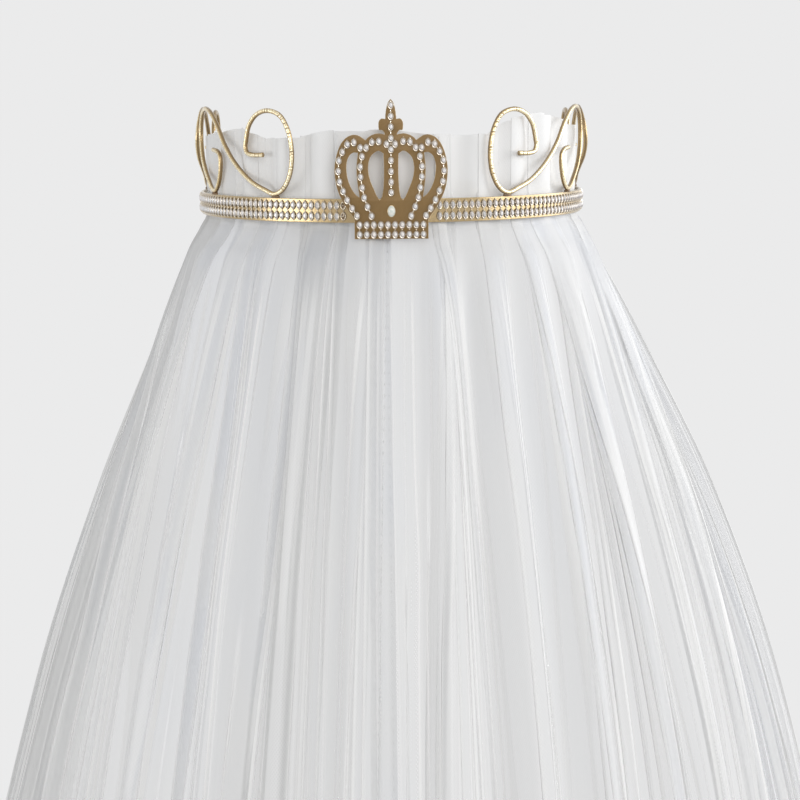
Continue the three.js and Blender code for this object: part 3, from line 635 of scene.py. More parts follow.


# The rubbed colour lightens rubbed edges and painted highlights; the painted shade colour darkens painted shade
METAL_VALUES = {
    "shade": 0.55, "clouds": 16.0, "spots": 0.25, "grain": 1800.0, "spread": 0.12, "stretch": (1, 1, 12),
    "lines": 500.0, "rub_and_highlight_color": (0.95, 0.86, 0.66, 1), "rub_and_highlight_amount": 0.5, "painted_shade_color": (0.17, 0.105, 0.045, 1),
    "line_height": 0.8, "depth": 0.00006, "coat": 0.9,
}
GOLD_BAND = metal_material(
    "gold_band", (0.49, 0.37, 0.195, 1), (0.29, 0.195, 0.085, 1), 0.93, 0.22, METAL_VALUES,
)
# On the wires the rubbed colour is a painted highlight along the outward side
GOLD_WIRE = metal_material(
    "gold_wire", (0.53, 0.37, 0.155, 1), (0.29, 0.18, 0.065, 1), 0.88, 0.26,
    {**METAL_VALUES, "shade": 0.45, "clouds": 70.0, "stretch": (1, 1, 1), "depth": 0.0001,
     "rub_and_highlight_color": (1.0, 0.89, 0.62, 1), "rub_and_highlight_amount": 1.6},
)
# On the plate the rubbed colour lights its rim: rubbing and a painted rim highlight
BRONZE_PLATE = metal_material(
    "bronze_plate", (0.222, 0.131, 0.041, 1), (0.155, 0.088, 0.025, 1), 0.42, 0.5,
    {**METAL_VALUES, "coat": 0.15, "shade": 0.3, "clouds": 60.0, "rub_and_highlight_color": (0.9, 0.77, 0.55, 1), "rub_and_highlight_amount": 1.2,
     "stretch": (6, 1, 1), "line_height": 0.5, "depth": 0.00005},
)
WELD_METAL = metal_material(
    "weld_metal", (0.2, 0.115, 0.05, 1), (0.05, 0.03, 0.015, 1), 0.7, 0.55,
    {**METAL_VALUES, "shade": 0.7, "clouds": 300.0, "spots": 0.6, "rub_and_highlight_amount": 0.0, "stretch": (1, 1, 1),
     "depth": 0.0002},
)
SILVER_SETTING = metal_material(
    "silver_setting", (0.93, 0.86, 0.74, 1), (0.45, 0.36, 0.26, 1), 0.9, 0.22,
    {**METAL_VALUES, "shade": 0.15, "clouds": 420.0, "spots": 0.25, "rub_and_highlight_amount": 0.0, "stretch": (1, 1, 1),
     "depth": 0.00004},
)


# Painted highlight and painted shade colours of the crystals' cut faces; the pearl's own colours
PAINTED_FACET_HIGHLIGHT = ((0.96, 0.96, 0.98, 1), (1.0, 0.95, 0.93, 1))
PAINTED_FACET_SHADE = ((0.2, 0.155, 0.14, 1), (0.32, 0.235, 0.2, 1))
PEARL_GREEN = (0.68, 0.76, 0.68, 1)
PEARL_CREAM = (0.92, 0.9, 0.84, 1)


def crystal_material():
    """Foil-backed cut glass with painted reflections: each cut face is painted its own light or dark share, with a
    cool or violet tint.
    """
    material, tree, shader, coordinates = new_material("crystal")
    painted_facet_light = attribute(tree, "painted_facet_light")
    tint = attribute(tree, "tint")
    facets = blend_colors(
        tree, painted_facet_light, blend_colors(tree, tint, *PAINTED_FACET_SHADE), blend_colors(tree, tint, *PAINTED_FACET_HIGHLIGHT),
    )
    clouds = remap(tree, noise(tree, coordinates, 900.0), 0.35, 0.65, 0.75, 1.0)
    tree.links.new(vector_math(tree, "SCALE", facets, scale=clouds), shader.inputs["Base Color"])
    tree.links.new(remap(tree, noise(tree, coordinates, 2600.0), 0.3, 0.7, 0.03, 0.12), shader.inputs["Roughness"])
    shader.inputs["Metallic"].default_value = 0.1
    shader.inputs["Coat Weight"].default_value = 1.0
    shader.inputs["Coat Roughness"].default_value = 0.02
    return material


def pearl_material():
    material, tree, shader, coordinates = new_material("pearl")
    layers = noise(tree, stretched(tree, coordinates, (1.0, 1.0, 2.5)), 260.0, detail=4.0)
    mixed = blend_colors(tree, remap(tree, layers, 0.35, 0.65), PEARL_GREEN, PEARL_CREAM)
    tree.links.new(mixed, shader.inputs["Base Color"])
    tree.links.new(remap(tree, noise(tree, coordinates, 900.0), 0.3, 0.7, 0.18, 0.3), shader.inputs["Roughness"])
    shader.inputs["Coat Weight"].default_value = 0.8
    shader.inputs["Coat Roughness"].default_value = 0.08
    bump(tree, shader, layers, 0.00003)
    return material


def woven_material(name, color, shade, pitch, slant, depth):
    """Woven tape: crossing threads on the piece's cloth map, with slubs and a little soiling."""
    material, tree, shader, coordinates = new_material(name)
    cloth_map = add_node(tree, "ShaderNodeUVMap", uv_map="cloth").outputs[0]
    net = use_group(tree, THREAD_NET, {"Cloth Map": cloth_map, "Pitch": pitch, "Slant": slant})
    threads = blend_colors(tree, net["Threads"], shade, color)
    slubs = remap(tree, noise(tree, coordinates, 140.0, detail=4.0), 0.3, 0.7, 0.86, 1.0)
    tree.links.new(vector_math(tree, "SCALE", threads, scale=slubs), shader.inputs["Base Color"])
    tree.links.new(remap(tree, net["Threads"], 0.0, 1.0, 0.95, 0.75), shader.inputs["Roughness"])
    bump(tree, shader, net["Height"], depth)
    return material


def drape_normal(tree, share):
    """Light goes through sheer cloth and evens out its folds: the surface's normal, drawn towards the drape's."""
    own = add_node(tree, "ShaderNodeNewGeometry").outputs["Normal"]
    drape = attribute(tree, "drape", "Vector")
    facing = vector_math(tree, "DOT_PRODUCT", own, drape, output="Value")
    side = calculate(tree, "MULTIPLY", facing, share / (1 - share))
    drawn = vector_math(tree, "ADD", own, vector_math(tree, "SCALE", drape, scale=side))
    return vector_math(tree, "NORMALIZE", drawn)


# Tulle: its net, what each effect adds to the share of thread, and its painted tones from grey in shade to white
# where lit and highlighted
NET_PITCH = 0.0022
NET_SLANT = 0.577
CREASE_COVER = 0.5
LAYER_COVER = 0.07
STREAK_COVER = 0.06
NET_COVER = 0.03
TURNED_COVER = 0.24
OPEN_COVER = 0.12
DENSEST_COVER = 0.98
NARROW_LINE_SHARE = 0.7
NARROW_LAYER_SHARE = 0.5
LIGHT_LET_THROUGH = 0.88
DRAPE_SHARE = 0.72
LIT_SHARE = 0.1
CLOUD_TINT_SHARE = 0.6
PAINTED_SHADE_GREY = (0.61, 0.61, 0.605, 1)
PAINTED_LIT_WHITE = (0.85, 0.857, 0.87, 1)
CLOUD_BLUE = (0.9, 0.93, 1.0, 1)
LIT_WHITE = (0.93, 0.93, 0.935, 1)
PAINTED_HIGHLIGHT_WHITE = (0.97, 0.97, 0.965, 1)


def tulle_material():
    """Sheer net: the share of thread grows where the cloth is gathered, hemmed or turned at a fold.
    Part of the light goes through its threads, so its shadows are lighter than its cover. Its colour carries
    painted light and shade: grey in shade and white where lit along each panel, lighter along streaks and
    layers, with a painted highlight at turned folds and crease lines and painted light on the heading."""
    material, tree, shader, coordinates = new_material("tulle")
    cloth_map = add_node(tree, "ShaderNodeUVMap", uv_map="cloth").outputs[0]
    net = use_group(tree, THREAD_NET, {"Cloth Map": cloth_map, "Pitch": NET_PITCH, "Slant": NET_SLANT})
    streaks = use_group(tree, STREAKS, {"Cloth Map": cloth_map, "Across": 30.0, "Along": 0.6})["Streaks"]
    broad = use_group(tree, CREASES, {"Cloth Map": cloth_map, "Across": 17.0, "Along": 0.5, "Line Width": 0.021})
    narrow = use_group(tree, CREASES, {
        "Cloth Map": cloth_map, "Across": 39.0, "Along": 0.75, "Level": 0.53, "Line Width": 0.042,
    })
    turned = attribute(tree, "turned")
    loose = attribute(tree, "loose")
    narrow_lines = calculate(tree, "MULTIPLY", narrow["Lines"], NARROW_LINE_SHARE)
    lines = calculate(tree, "MULTIPLY", calculate(tree, "MAXIMUM", broad["Lines"], narrow_lines), loose)
    both_layers = calculate(tree, "MULTIPLY_ADD", narrow["Layers"], NARROW_LAYER_SHARE, broad["Layers"])
    layers = calculate(tree, "MULTIPLY", both_layers, loose)
    cover = attribute(tree, "cover")
    for effect, share in (
        (streaks, STREAK_COVER), (net["Threads"], NET_COVER), (layers, LAYER_COVER), (lines, CREASE_COVER),
        (turned, TURNED_COVER),
    ):
        cover = calculate(tree, "MULTIPLY_ADD", effect, share, cover)
    alpha = calculate(tree, "MINIMUM", calculate(tree, "SUBTRACT", cover, OPEN_COVER), DENSEST_COVER)
    rays = add_node(tree, "ShaderNodeLightPath").outputs
    lighting = calculate(tree, "MAXIMUM", rays["Is Shadow Ray"], rays["Is Diffuse Ray"])
    thinned = calculate(tree, "MULTIPLY_ADD", lighting, -LIGHT_LET_THROUGH, 1.0)
    tree.links.new(calculate(tree, "MULTIPLY", alpha, thinned), shader.inputs["Alpha"])
    # Painted shade and light along each panel: grey in shade, white where lit
    plain = blend_colors(tree, attribute(tree, "painted_panel_light"), PAINTED_SHADE_GREY, PAINTED_LIT_WHITE)
    clouds = remap(tree, noise(tree, stretched(tree, coordinates, (1.0, 1.0, 0.35)), 9.0), 0.45, 0.62)
    cloudy = calculate(tree, "MULTIPLY", clouds, CLOUD_TINT_SHARE)
    tinted = blend_colors(tree, cloudy, plain, CLOUD_BLUE, "MULTIPLY")
    # Painted light: lighter along the streaks and where two layers lie on each other
    lit = calculate(tree, "MULTIPLY_ADD", streaks, LIT_SHARE, calculate(tree, "MULTIPLY", layers, LIT_SHARE))
    soft = blend_colors(tree, lit, tinted, LIT_WHITE)
    # Painted highlight at turned folds and crease lines, and painted light on the heading
    painted_light_mask = calculate(tree, "MAXIMUM", calculate(tree, "MAXIMUM", turned, lines), attribute(tree, "heading"))
    tree.links.new(blend_colors(tree, painted_light_mask, soft, PAINTED_HIGHLIGHT_WHITE), shader.inputs["Base Color"])
    tree.links.new(remap(tree, net["Threads"], 0.0, 1.0, 0.9, 0.62), shader.inputs["Roughness"])
    shader.inputs["Specular IOR Level"].default_value = 0.2
    tree.links.new(drape_normal(tree, DRAPE_SHARE), shader.inputs["Normal"])
    return material


CRYSTAL = crystal_material()
PEARL = pearl_material()
TAPE = woven_material("tape", (0.92, 0.92, 0.9, 1), (0.6, 0.6, 0.58, 1), 0.0009, 1.0, 0.00012)
THREAD = woven_material("thread", (0.9, 0.9, 0.88, 1), (0.6, 0.6, 0.6, 1), 0.0005, 0.6, 0.00005)
TULLE = tulle_material()


# Geometry node trees for what repeats

def geometry_tree(name, inputs):
    tree = bpy.data.node_groups.new(name, "GeometryNodeTree")
    tree.interface.new_socket("Geometry", in_out="INPUT", socket_type="NodeSocketGeometry")
    add_inputs(tree, inputs)
    tree.interface.new_socket("Geometry", in_out="OUTPUT", socket_type="NodeSocketGeometry")
    return tree_ends(tree)


def close_tree(tree, geometry, material, out):
    real = add_node(tree, "GeometryNodeRealizeInstances", {0: geometry}).outputs[0]
    finished = add_node(tree, "GeometryNodeSetMaterial", {"Geometry": real, "Material": material}).outputs[0]
    tree.links.new(finished, out.inputs[0])


def stored_vector(tree, name):
    return add_node(tree, "GeometryNodeInputNamedAttribute", {"Name": name}, data_type="FLOAT_VECTOR").outputs[0]


def facing_rotation(tree, along=(0, 0, 1), axis="Y"):
    """Turns a pattern's Z to the stored outward direction, and an axis of it along a line."""
    facing = add_node(tree, "FunctionNodeAlignRotationToVector", {"Vector": stored_vector(tree, "facing")}, axis="Z")
    return add_node(
        tree, "FunctionNodeAlignRotationToVector", {"Rotation": facing.outputs[0], "Vector": along},
        axis=axis, pivot_axis="Z",
    ).outputs[0]


def stones_tree():
    """Sets a crystal on each point of a mesh and gives each its own tint."""
    tree, given, out = geometry_tree("set_crystals", [
        ("Crystal", "Object", None), ("Tint Seed", "Int", 0), ("Finish", "Material", None),
    ])
    crystal = add_node(tree, "GeometryNodeObjectInfo", {"Object": given["Crystal"]})
    placed = add_node(tree, "GeometryNodeInstanceOnPoints", {
        "Points": given["Geometry"], "Instance": crystal.outputs["Geometry"], "Rotation": facing_rotation(tree),
    }).outputs[0]
    tint = add_node(tree, "FunctionNodeRandomValue", {"Seed": given["Tint Seed"]}, data_type="FLOAT")
    stored = add_node(
        tree, "GeometryNodeStoreNamedAttribute",
        {"Geometry": placed, "Name": "tint", "Value": tint.outputs[1]},
        data_type="FLOAT", domain="INSTANCE",
    ).outputs[0]
    close_tree(tree, stored, given["Finish"], out)
    return tree


def settings_tree():
    """Sets a cup on each point of a mesh and a thin pointed link along each of its edges."""
    tree, given, out = geometry_tree("set_cups_and_links", [
        ("Cup", "Object", None), ("Link Width", "Float", 0.001), ("Link Thickness", "Float", 0.0006),
        ("Link Lift", "Float", 0.0004), ("Finish", "Material", None),
    ])
    cup = add_node(tree, "GeometryNodeObjectInfo", {"Object": given["Cup"]})
    cups = add_node(tree, "GeometryNodeInstanceOnPoints", {
        "Points": given["Geometry"], "Instance": cup.outputs["Geometry"], "Rotation": facing_rotation(tree),
    }).outputs[0]
    ends = add_node(tree, "GeometryNodeInputMeshEdgeVertices")
    reach = vector_math(tree, "SUBTRACT", ends.outputs["Position 2"], ends.outputs["Position 1"])
    captured = add_node(tree, "GeometryNodeStoreNamedAttribute", {
        "Geometry": given["Geometry"], "Name": "reach", "Value": reach,
    }, data_type="FLOAT_VECTOR", domain="EDGE").outputs[0]
    middles = add_node(tree, "GeometryNodeMeshToPoints", {"Mesh": captured}, mode="EDGES").outputs[0]
    way = stored_vector(tree, "reach")
    length = vector_math(tree, "LENGTH", way, output="Value")
    bar = add_node(tree, "GeometryNodeMeshCylinder", {
        "Vertices": 6, "Radius": 0.5, "Depth": 1.0,
    }).outputs["Mesh"]
    lying = add_node(tree, "GeometryNodeTransform", {
        "Geometry": bar, "Rotation": (0, math.pi / 2, 0),
    }).outputs[0]
    size = add_node(tree, "ShaderNodeCombineXYZ", {
        0: length, 1: given["Link Width"], 2: given["Link Thickness"],
    }).outputs[0]
    links = add_node(tree, "GeometryNodeInstanceOnPoints", {
        "Points": middles, "Instance": lying, "Rotation": facing_rotation(tree, way, "X"), "Scale": size,
    }).outputs[0]
    lifted = add_node(tree, "GeometryNodeTranslateInstances", {
        "Instances": links,
        "Translation": add_node(tree, "ShaderNodeCombineXYZ", {2: given["Link Lift"]}).outputs[0],
    }).outputs[0]
    joined = add_node(tree, "GeometryNodeJoinGeometry")
    tree.links.new(cups, joined.inputs[0])
    tree.links.new(lifted, joined.inputs[0])
    close_tree(tree, joined.outputs[0], given["Finish"], out)
    return tree


def stitches_tree():
    """Lays short rounded stitches along the lines of a mesh."""
    tree, given, out = geometry_tree("lay_stitches", [
        ("Stitch Pitch", "Float", 0.003), ("Stitch Length", "Float", 0.0022), ("Thread Radius", "Float", 0.0003),
        ("Finish", "Material", None),
    ])
    line = add_node(tree, "GeometryNodeMeshToCurve", {"Mesh": given["Geometry"]}).outputs[0]
    points = add_node(tree, "GeometryNodeCurveToPoints", {
        "Curve": line, "Length": given["Stitch Pitch"],
    }, mode="LENGTH")
    turned = add_node(tree, "FunctionNodeAlignRotationToVector", {"Vector": points.outputs["Tangent"]}, axis="X")
    bead = add_node(tree, "GeometryNodeMeshIcoSphere", {"Radius": 1.0, "Subdivisions": 1}).outputs["Mesh"]
    half_length = add_node(tree, "ShaderNodeMath", {0: given["Stitch Length"], 1: 0.5}, operation="MULTIPLY")
    size = add_node(tree, "ShaderNodeCombineXYZ", {
        0: half_length.outputs[0], 1: given["Thread Radius"], 2: given["Thread Radius"],
    }).outputs[0]
    laid = add_node(tree, "GeometryNodeInstanceOnPoints", {
        "Points": points.outputs["Points"], "Instance": bead, "Rotation": turned.outputs[0], "Scale": size,
    }).outputs[0]
    close_tree(tree, laid, given["Finish"], out)
    return tree


SET_CRYSTALS = stones_tree()
SET_CUPS = settings_tree()
LAY_STITCHES = stitches_tree()


def grown(name, mesh, tree, values, smooth_angle=math.radians(30)):
    """Runs a geometry tree on a mesh and keeps the result as a plain mesh."""
    holder = bpy.data.objects.new(name + "_layout", mesh)
    bpy.context.scene.collection.objects.link(holder)
    modifier = holder.modifiers.new("grow", "NODES")
    modifier.node_group = tree
    identifiers = {item.name: item.identifier for item in tree.interface.items_tree if item.in_out == "INPUT"}
    for label, value in values.items():
        modifier[identifiers[label]] = value
    bpy.context.view_layer.update()
    evaluated = holder.evaluated_get(bpy.context.evaluated_depsgraph_get())
    result = bpy.data.meshes.new_from_object(evaluated)
    holder.modifiers.remove(modifier)
    bpy.data.objects.remove(holder)
    return finish_mesh(name, result, values["Finish"], smooth_angle)


def layout_mesh(name, points, edges, facings):
    mesh = bpy.data.meshes.new(name)
    mesh.from_pydata([tuple(point) for point in points], edges, [])
    stored = mesh.attributes.new("facing", "FLOAT_VECTOR", "POINT")
    stored.data.foreach_set("vector", np.array([tuple(facing) for facing in facings]).ravel())
    return mesh


def settle(piece, *nodes, slot=None):
    """Puts a finished piece on the part's one body, in place of its CAD nodes."""
    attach(piece, "root")
    if nodes:
        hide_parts(*nodes)
    return piece


def set_point_values(mesh, name, values):
    stored = mesh.attributes.new(name, "FLOAT", "POINT")
    stored.data.foreach_set("value", np.asarray(values, np.float32).ravel())


def set_cloth_map(mesh, coordinates):
    """Stores a cloth map, in metres across and along, given for each point."""
    loops = np.zeros(len(mesh.loops), np.int32)
    mesh.loops.foreach_get("vertex_index", loops)
    layer = mesh.uv_layers.new(name="cloth")
    layer.data.foreach_set("uv", np.asarray(coordinates, np.float32)[loops].ravel())


# Band and wall bar

def mark_edges(mesh, reach):
    """Marks the points near the band's upper and lower edges as rubbed."""
    places = np.zeros(len(mesh.vertices) * 3, np.float32)
    mesh.vertices.foreach_get("co", places)
    height = np.abs(places.reshape(-1, 3)[:, 2])
    set_point_values(mesh, "rubbed_and_highlit", np.clip(1 - (BAND_TOP - height) / reach, 0, 1))


def build_band():
    band = band_ribbon(
        "rolled_band", RING_RADIUS, BAND_THICKNESS, BAND_HEIGHT, BAND_EDGE_RADIUS, -BAND_END, BAND_END, GOLD_BAND,
    )
    mark_edges(band.data, BAND_EDGE_RADIUS)
    settle(band, "crown_band", slot="gold_band")


def circle_points(x, y, radius, count=32):
    angles = np.linspace(0, 2 * math.pi, count, endpoint=False)
    return [(x + radius * math.cos(angle), y + radius * math.sin(angle)) for angle in angles]


def build_wall_bar():
    outline = [
        (-RING_RADIUS, BAND_BOTTOM), (RING_RADIUS, BAND_BOTTOM), (RING_RADIUS, BAND_TOP), (-RING_RADIUS, BAND_TOP),
    ]
    holes = [circle_points(side * SCREW_SPACING / 2, 0, SCREW_HOLE_RADIUS) for side in (-1, 1)]
    bar = flat_plate("drilled_wall_bar", outline, holes, WALL_BAR_THICKNESS, BAND_EDGE_RADIUS, GOLD_BAND)
    mark_edges(bar.data, BAND_EDGE_RADIUS)
    settle(bar, "wall_bar", slot="gold_band")


FILLET_RIPPLES = 9
FILLET_STATIONS = FILLET_RIPPLES * 8
FILLET_STEPS = 6
FILLET_SWELL = 0.2


def build_corner_welds():
    """A rippled fillet of weld in each corner between the band and the wall bar."""
    leg = corner_high.x - corner_low.x
    rise = np.linspace(corner_low.z, corner_high.z, FILLET_STATIONS)
    for side, name in SIDES:
        points = []
        for number, height in enumerate(rise):
            ripple = abs(math.sin(math.pi * FILLET_RIPPLES * number / (FILLET_STATIONS - 1)))
            swell = 1 - FILLET_SWELL + FILLET_SWELL * ripple
            row = [Vector((side * corner_high.x, corner_high.y, height))]
            for step in range(FILLET_STEPS + 1):
                angle = math.pi / 2 * step / FILLET_STEPS
                row.append(Vector((
                    side * (corner_high.x - leg * swell * math.cos(angle)),
                    corner_high.y - leg * swell * math.sin(angle),
                    height,
                )))
            points.append(row)
        mesh = outward(grid_mesh(f"wall_weld_fillet_{name}", np.array(points), closed_across=True, caps=True))
        piece = finish_mesh(f"wall_weld_fillet_{name}", mesh, WELD_METAL)
        settle(piece, f"wall_weld_{name}", slot="weld_metal")


# Wire scrolls: where one bulges, its hammered notches, and the painted highlight and painted shade strips along it

BULGE_START = 0.8
NOTCH_PITCH = 2.7 * MM
NOTCH_DRIFT = 0.35
NOTCH_DRIFT_RATE = 61
NOTCH_EDGE = 0.72
NOTCH_SPAN = 0.28
NOTCH_DEPTH = 0.2
NOTCH_STRENGTHS = (0.5, 1)
NOTCH_OUTER_SHARE = 0.5
NOTCH_TURN_SHARE = 0.6
HAMMERED_MIDDLE = 0.24
HAMMERED_REACH = 0.13
HAMMERED_FADE = 0.05
PLAIN_NOTCH_SHARE = 0.25
HAMMERED_START = 0.042
HAMMERED_END = 0.965
WIRE_END_LENGTH = 0.8 * MM
WIRE_TIP_SHARE = 0.02
COARSE_WOBBLE = (0.015, 173)
FINE_WOBBLE = (0.012, 419)
# A wire's painted highlight along its outward side, and the painted shade on its flanks, fading at its back
BRIGHT_TURN = 0.3
BRIGHT_EDGE = 0.62
BRIGHT_SPAN = 0.3
FLANK_TURN = 0.15
FLANK_SPAN = 0.5
FLANK_SHADE = 0.85
REAR_FADE = 0.6


def scroll_line(side, first_run, direction, bulge):
    """The middle line of one scroll, bent round the band, and the share of its length at each point."""
    drawn = spline_points([(along * SCROLL_WIDTH, up * SCROLL_HEIGHT) for along, up in SCROLL_SHARES], 40)
    even = even_points(drawn, WIRE_STATIONS)
    points = []
    for along, up in even:
        outermost = smooth_step((along / SCROLL_WIDTH - BULGE_START) / (1 - BULGE_START))
        swell = bulge * outermost * math.sin(math.pi * up / SCROLL_HEIGHT)
        height = BAND_TOP + WELD_THICKNESS + WIRE_RADIUS + up
        radius = RING_RADIUS - BAND_THICKNESS / 2 + swell
        points.append(band_place(side * (first_run + direction * along), radius, height))
    return np.array(points), even


def build_scroll(name, side, first_run, direction, bulge, seed):
    """A round wire with a painted highlight along its outward side and painted shade on its flanks and in its
    hammered notches, which sit round the first loop and at the ends.
    """
    line, drawn = scroll_line(side, first_run, direction, bulge)
    random = np.random.default_rng(seed)
    count = len(line)
    share = np.linspace(0, 1, count)
    length = np.linalg.norm(np.diff(line, axis=0), axis=1).sum()
    notch_phase = share * length / NOTCH_PITCH + NOTCH_DRIFT * np.sin(share * NOTCH_DRIFT_RATE)
    notch = np.clip((np.cos(2 * math.pi * notch_phase) - NOTCH_EDGE) / NOTCH_SPAN, 0, 1)
    hammered = smooth_step((HAMMERED_REACH - np.abs(share - HAMMERED_MIDDLE)) / HAMMERED_FADE)
    hammered += PLAIN_NOTCH_SHARE + (share < HAMMERED_START) + (share > HAMMERED_END)
    notch *= np.clip(hammered, 0, 1) * random.uniform(*NOTCH_STRENGTHS, count)
    coarse_size, coarse_rate = COARSE_WOBBLE
    fine_size, fine_rate = FINE_WOBBLE
    wobble = 1 + coarse_size * np.sin(share * coarse_rate + seed) + fine_size * np.sin(share * fine_rate)
    ends = np.clip(np.minimum(share, 1 - share) * length / WIRE_END_LENGTH, 0, 1)
    radius = WIRE_RADIUS * wobble * np.sqrt(np.clip(ends * (2 - ends), WIRE_TIP_SHARE, 1))
    tangent = np.gradient(line, axis=0)
    tangent /= np.linalg.norm(tangent, axis=1)[:, None]
    run = side * (first_run + direction * drawn[:, 0])
    across = np.array([band_facing(value) for value in run])
    across -= (across * tangent).sum(axis=1)[:, None] * tangent
    across /= np.linalg.norm(across, axis=1)[:, None]
    third = np.cross(tangent, across)
    angles = np.linspace(0, 2 * math.pi, WIRE_SIDES, endpoint=False)
    # Painted highlight on the outward side and painted shade on the flanks, by each point's angle round the wire
    bright = smooth_step((np.cos(angles + BRIGHT_TURN) - BRIGHT_EDGE) / BRIGHT_SPAN)
    flank = smooth_step((BRIGHT_EDGE - np.cos(angles + FLANK_TURN)) / FLANK_SPAN)
    flank *= 1 - REAR_FADE * smooth_step(-np.cos(angles) / FLANK_SPAN)
    rings, painted_shades = [], []
    for number in range(count):
        bite = notch[number] * np.clip(np.cos(angles) * NOTCH_TURN_SHARE + NOTCH_OUTER_SHARE, 0, 1)
        reach = radius[number] * (1 - NOTCH_DEPTH * bite)
        ring = line[number] + reach[:, None] * (
            np.cos(angles)[:, None] * across[number] + np.sin(angles)[:, None] * third[number]
        )
        rings.append(ring)
        painted_shades.append(np.clip(bite + FLANK_SHADE * flank * (1 - bite), 0, 1))
    mesh = outward(grid_mesh(name, np.array(rings), closed_across=True, caps=True))
    # Painted shade in the notches and on the flanks; the painted highlight only where there is none
    set_point_values(mesh, "painted_shade", painted_shades)
    set_point_values(mesh, "rubbed_and_highlit", bright * (1 - np.array(painted_shades)))
    return finish_mesh(name, mesh, GOLD_WIRE)


WELD_LUMPS = 6
WELD_LUMP_SHARE = 0.05
WELD_SINK = 0.2 * MM
WELD_LIFT_SHARE = 0.4


def weld_bead(name, place, heading, seed):
    """A lumpy bead of weld between the band's top edge and a wire."""
    random = np.random.default_rng(seed)
    work = bmesh.new()
    bmesh.ops.create_icosphere(work, subdivisions=3, radius=1)
    lumps = random.normal(size=(WELD_LUMPS, 3))
    turn = Matrix.Rotation(heading, 3, "Z")
    for vertex in work.verts:
        swell = 1 + WELD_LUMP_SHARE * sum(math.sin(3 * vertex.co.dot(Vector(lump))) for lump in lumps)
        vertex.co = turn @ Vector((vertex.co.x * WELD_SIZE.x / 2, vertex.co.y * WELD_SIZE.y / 2,
                                   vertex.co.z * WELD_SIZE.z / 2)) * swell + place
        vertex.co.z = max(vertex.co.z, BAND_TOP - WELD_SINK)
    return finish_mesh(name, mesh_from_work(name, work), WELD_METAL)


def build_scrolls():
    seed = 0
    for side, side_name in SIDES:
        rows = [
            ("front", FRONT_SCROLL_START, 1, FRONT_SCROLL_BULGE),
            ("rear", REAR_SCROLL_END, -1, REAR_SCROLL_BULGES[side]),
        ]
        for row_name, first_run, direction, bulge in rows:
            seed += 1
            wire = build_scroll(f"scroll_wire_{row_name}_{side_name}", side, first_run, direction, bulge, seed)
            settle(wire, f"scroll_{row_name}_{side_name}", slot="gold_wire")
            for weld_name, share in (("outer", FIRST_WELD_SHARE), ("inner", SECOND_WELD_SHARE)):
                seed += 1
                run = side * (first_run + direction * share * SCROLL_WIDTH)
                radius = RING_RADIUS - BAND_THICKNESS / 2
                place = band_place(run, radius, BAND_TOP + WELD_THICKNESS * WELD_LIFT_SHARE)
                facing = band_facing(run)
                heading = math.atan2(facing.y, facing.x) + math.pi / 2
                bead = weld_bead(f"weld_bead_{row_name}_{side_name}_{weld_name}", place, heading, seed)
                settle(bead, f"scroll_weld_{row_name}_{side_name}_{weld_name}", slot="weld_metal")


# Crown plate

def plate_point(across, up):
    return (across * PLATE_WIDTH / 2, PLATE_BOTTOM + up * PLATE_HEIGHT)


def smooth_loop(runs):
    points = []
    for run in runs:
        drawn = spline_points([plate_point(*share) for share in run], EDGE_SUBDIVISIONS if len(run) > 2 else 1)
        points.extend(tuple(point) for point in drawn[:-1])
    return points


def build_plate():
    right = smooth_loop(PLATE_OUTLINE_SHARES)
    right.append(plate_point(*PLATE_OUTLINE_SHARES[-1][-1]))
    left = [(-x, y) for x, y in right[1:]]
    outline = right + left[::-1]
    windows = []
    for shares in (INNER_WINDOW_SHARES, OUTER_WINDOW_SHARES):
        window = smooth_loop(shares)
        windows += [window, [(-x, y) for x, y in window]]
    plate = flat_plate("cut_plate", outline, windows, PLATE_THICKNESS, PLATE_EDGE_RADIUS, BRONZE_PLATE)
    plate.data.transform(Matrix.Translation((0, plate_high.y, 0)))
    mark_plate_edges(plate.data)
    settle(plate, "crown_plate", slot="bronze_plate")
    for name in ("plate_spacer_left", "plate_spacer_right"):
        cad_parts[name].data.materials.clear()
        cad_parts[name].data.materials.append(BRONZE_PLATE)


PLATE_RIM_GAIN = 2.2


def mark_plate_edges(mesh):
    """Marks the rounded rim of the plate, whose faces turn away from its flat front and back, for rubbing and a
    painted rim highlight.
    """
    normals = np.zeros(len(mesh.vertices) * 3, np.float32)
    mesh.vertex_normals.foreach_get("vector", normals)
    set_point_values(mesh, "rubbed_and_highlit", np.clip((1 - np.abs(normals.reshape(-1, 3)[:, 1])) * PLATE_RIM_GAIN, 0, 1))


# Stones in their cups: a stone's rings as shares of its width and height, in half sides of turn, with their
# levels; a cup's profile and a claw's corners as shares of its size, with their levels. Levels are shares of
# the stone's rise

CRYSTAL_SIDES = 10
CRYSTAL_RINGS = [(0.78, 0.82, 0, 0.15), (0.78, 0.82, 0, 0.5), (0.66, 0.7, 1, 0.8), (0.42, 0.46, 0, 1)]
# Painted light on a crystal's faces: by their slope towards the upper right, with a random scatter, and for the
# plate's and the strip's crowns and tables
PAINTED_LIGHT_TILT = 0.48
FACET_SCATTER = 0.3
TABLE_LEVELNESS = 0.95
PLATE_PAINTED_LIGHT = (0.9, 1.0)
STRIP_PAINTED_LIGHT = (0.8, 0.7)
CUP_SIDES = 12
CUP_PROFILE = [(0.9, 0.0), (1.25, 0.0), (1.17, 0.42), (1.07, 0.66), (0.93, 0.62), (0.88, 0.25)]
CUP_FLOOR = (0.92, 0.05)
CLAW_HALF_WIDTH = 1.05 * MM
CLAW_TOP = (0.88, 0.86)
CLAW_FOOT = (1.05, 0.1)
CLAW_BACK = (0.92, 0.3)
CLAW_TIP_LEVEL = 0.3
END_CLAW_REACH = 1.5
SIDE_CLAW_REACH = 1.34
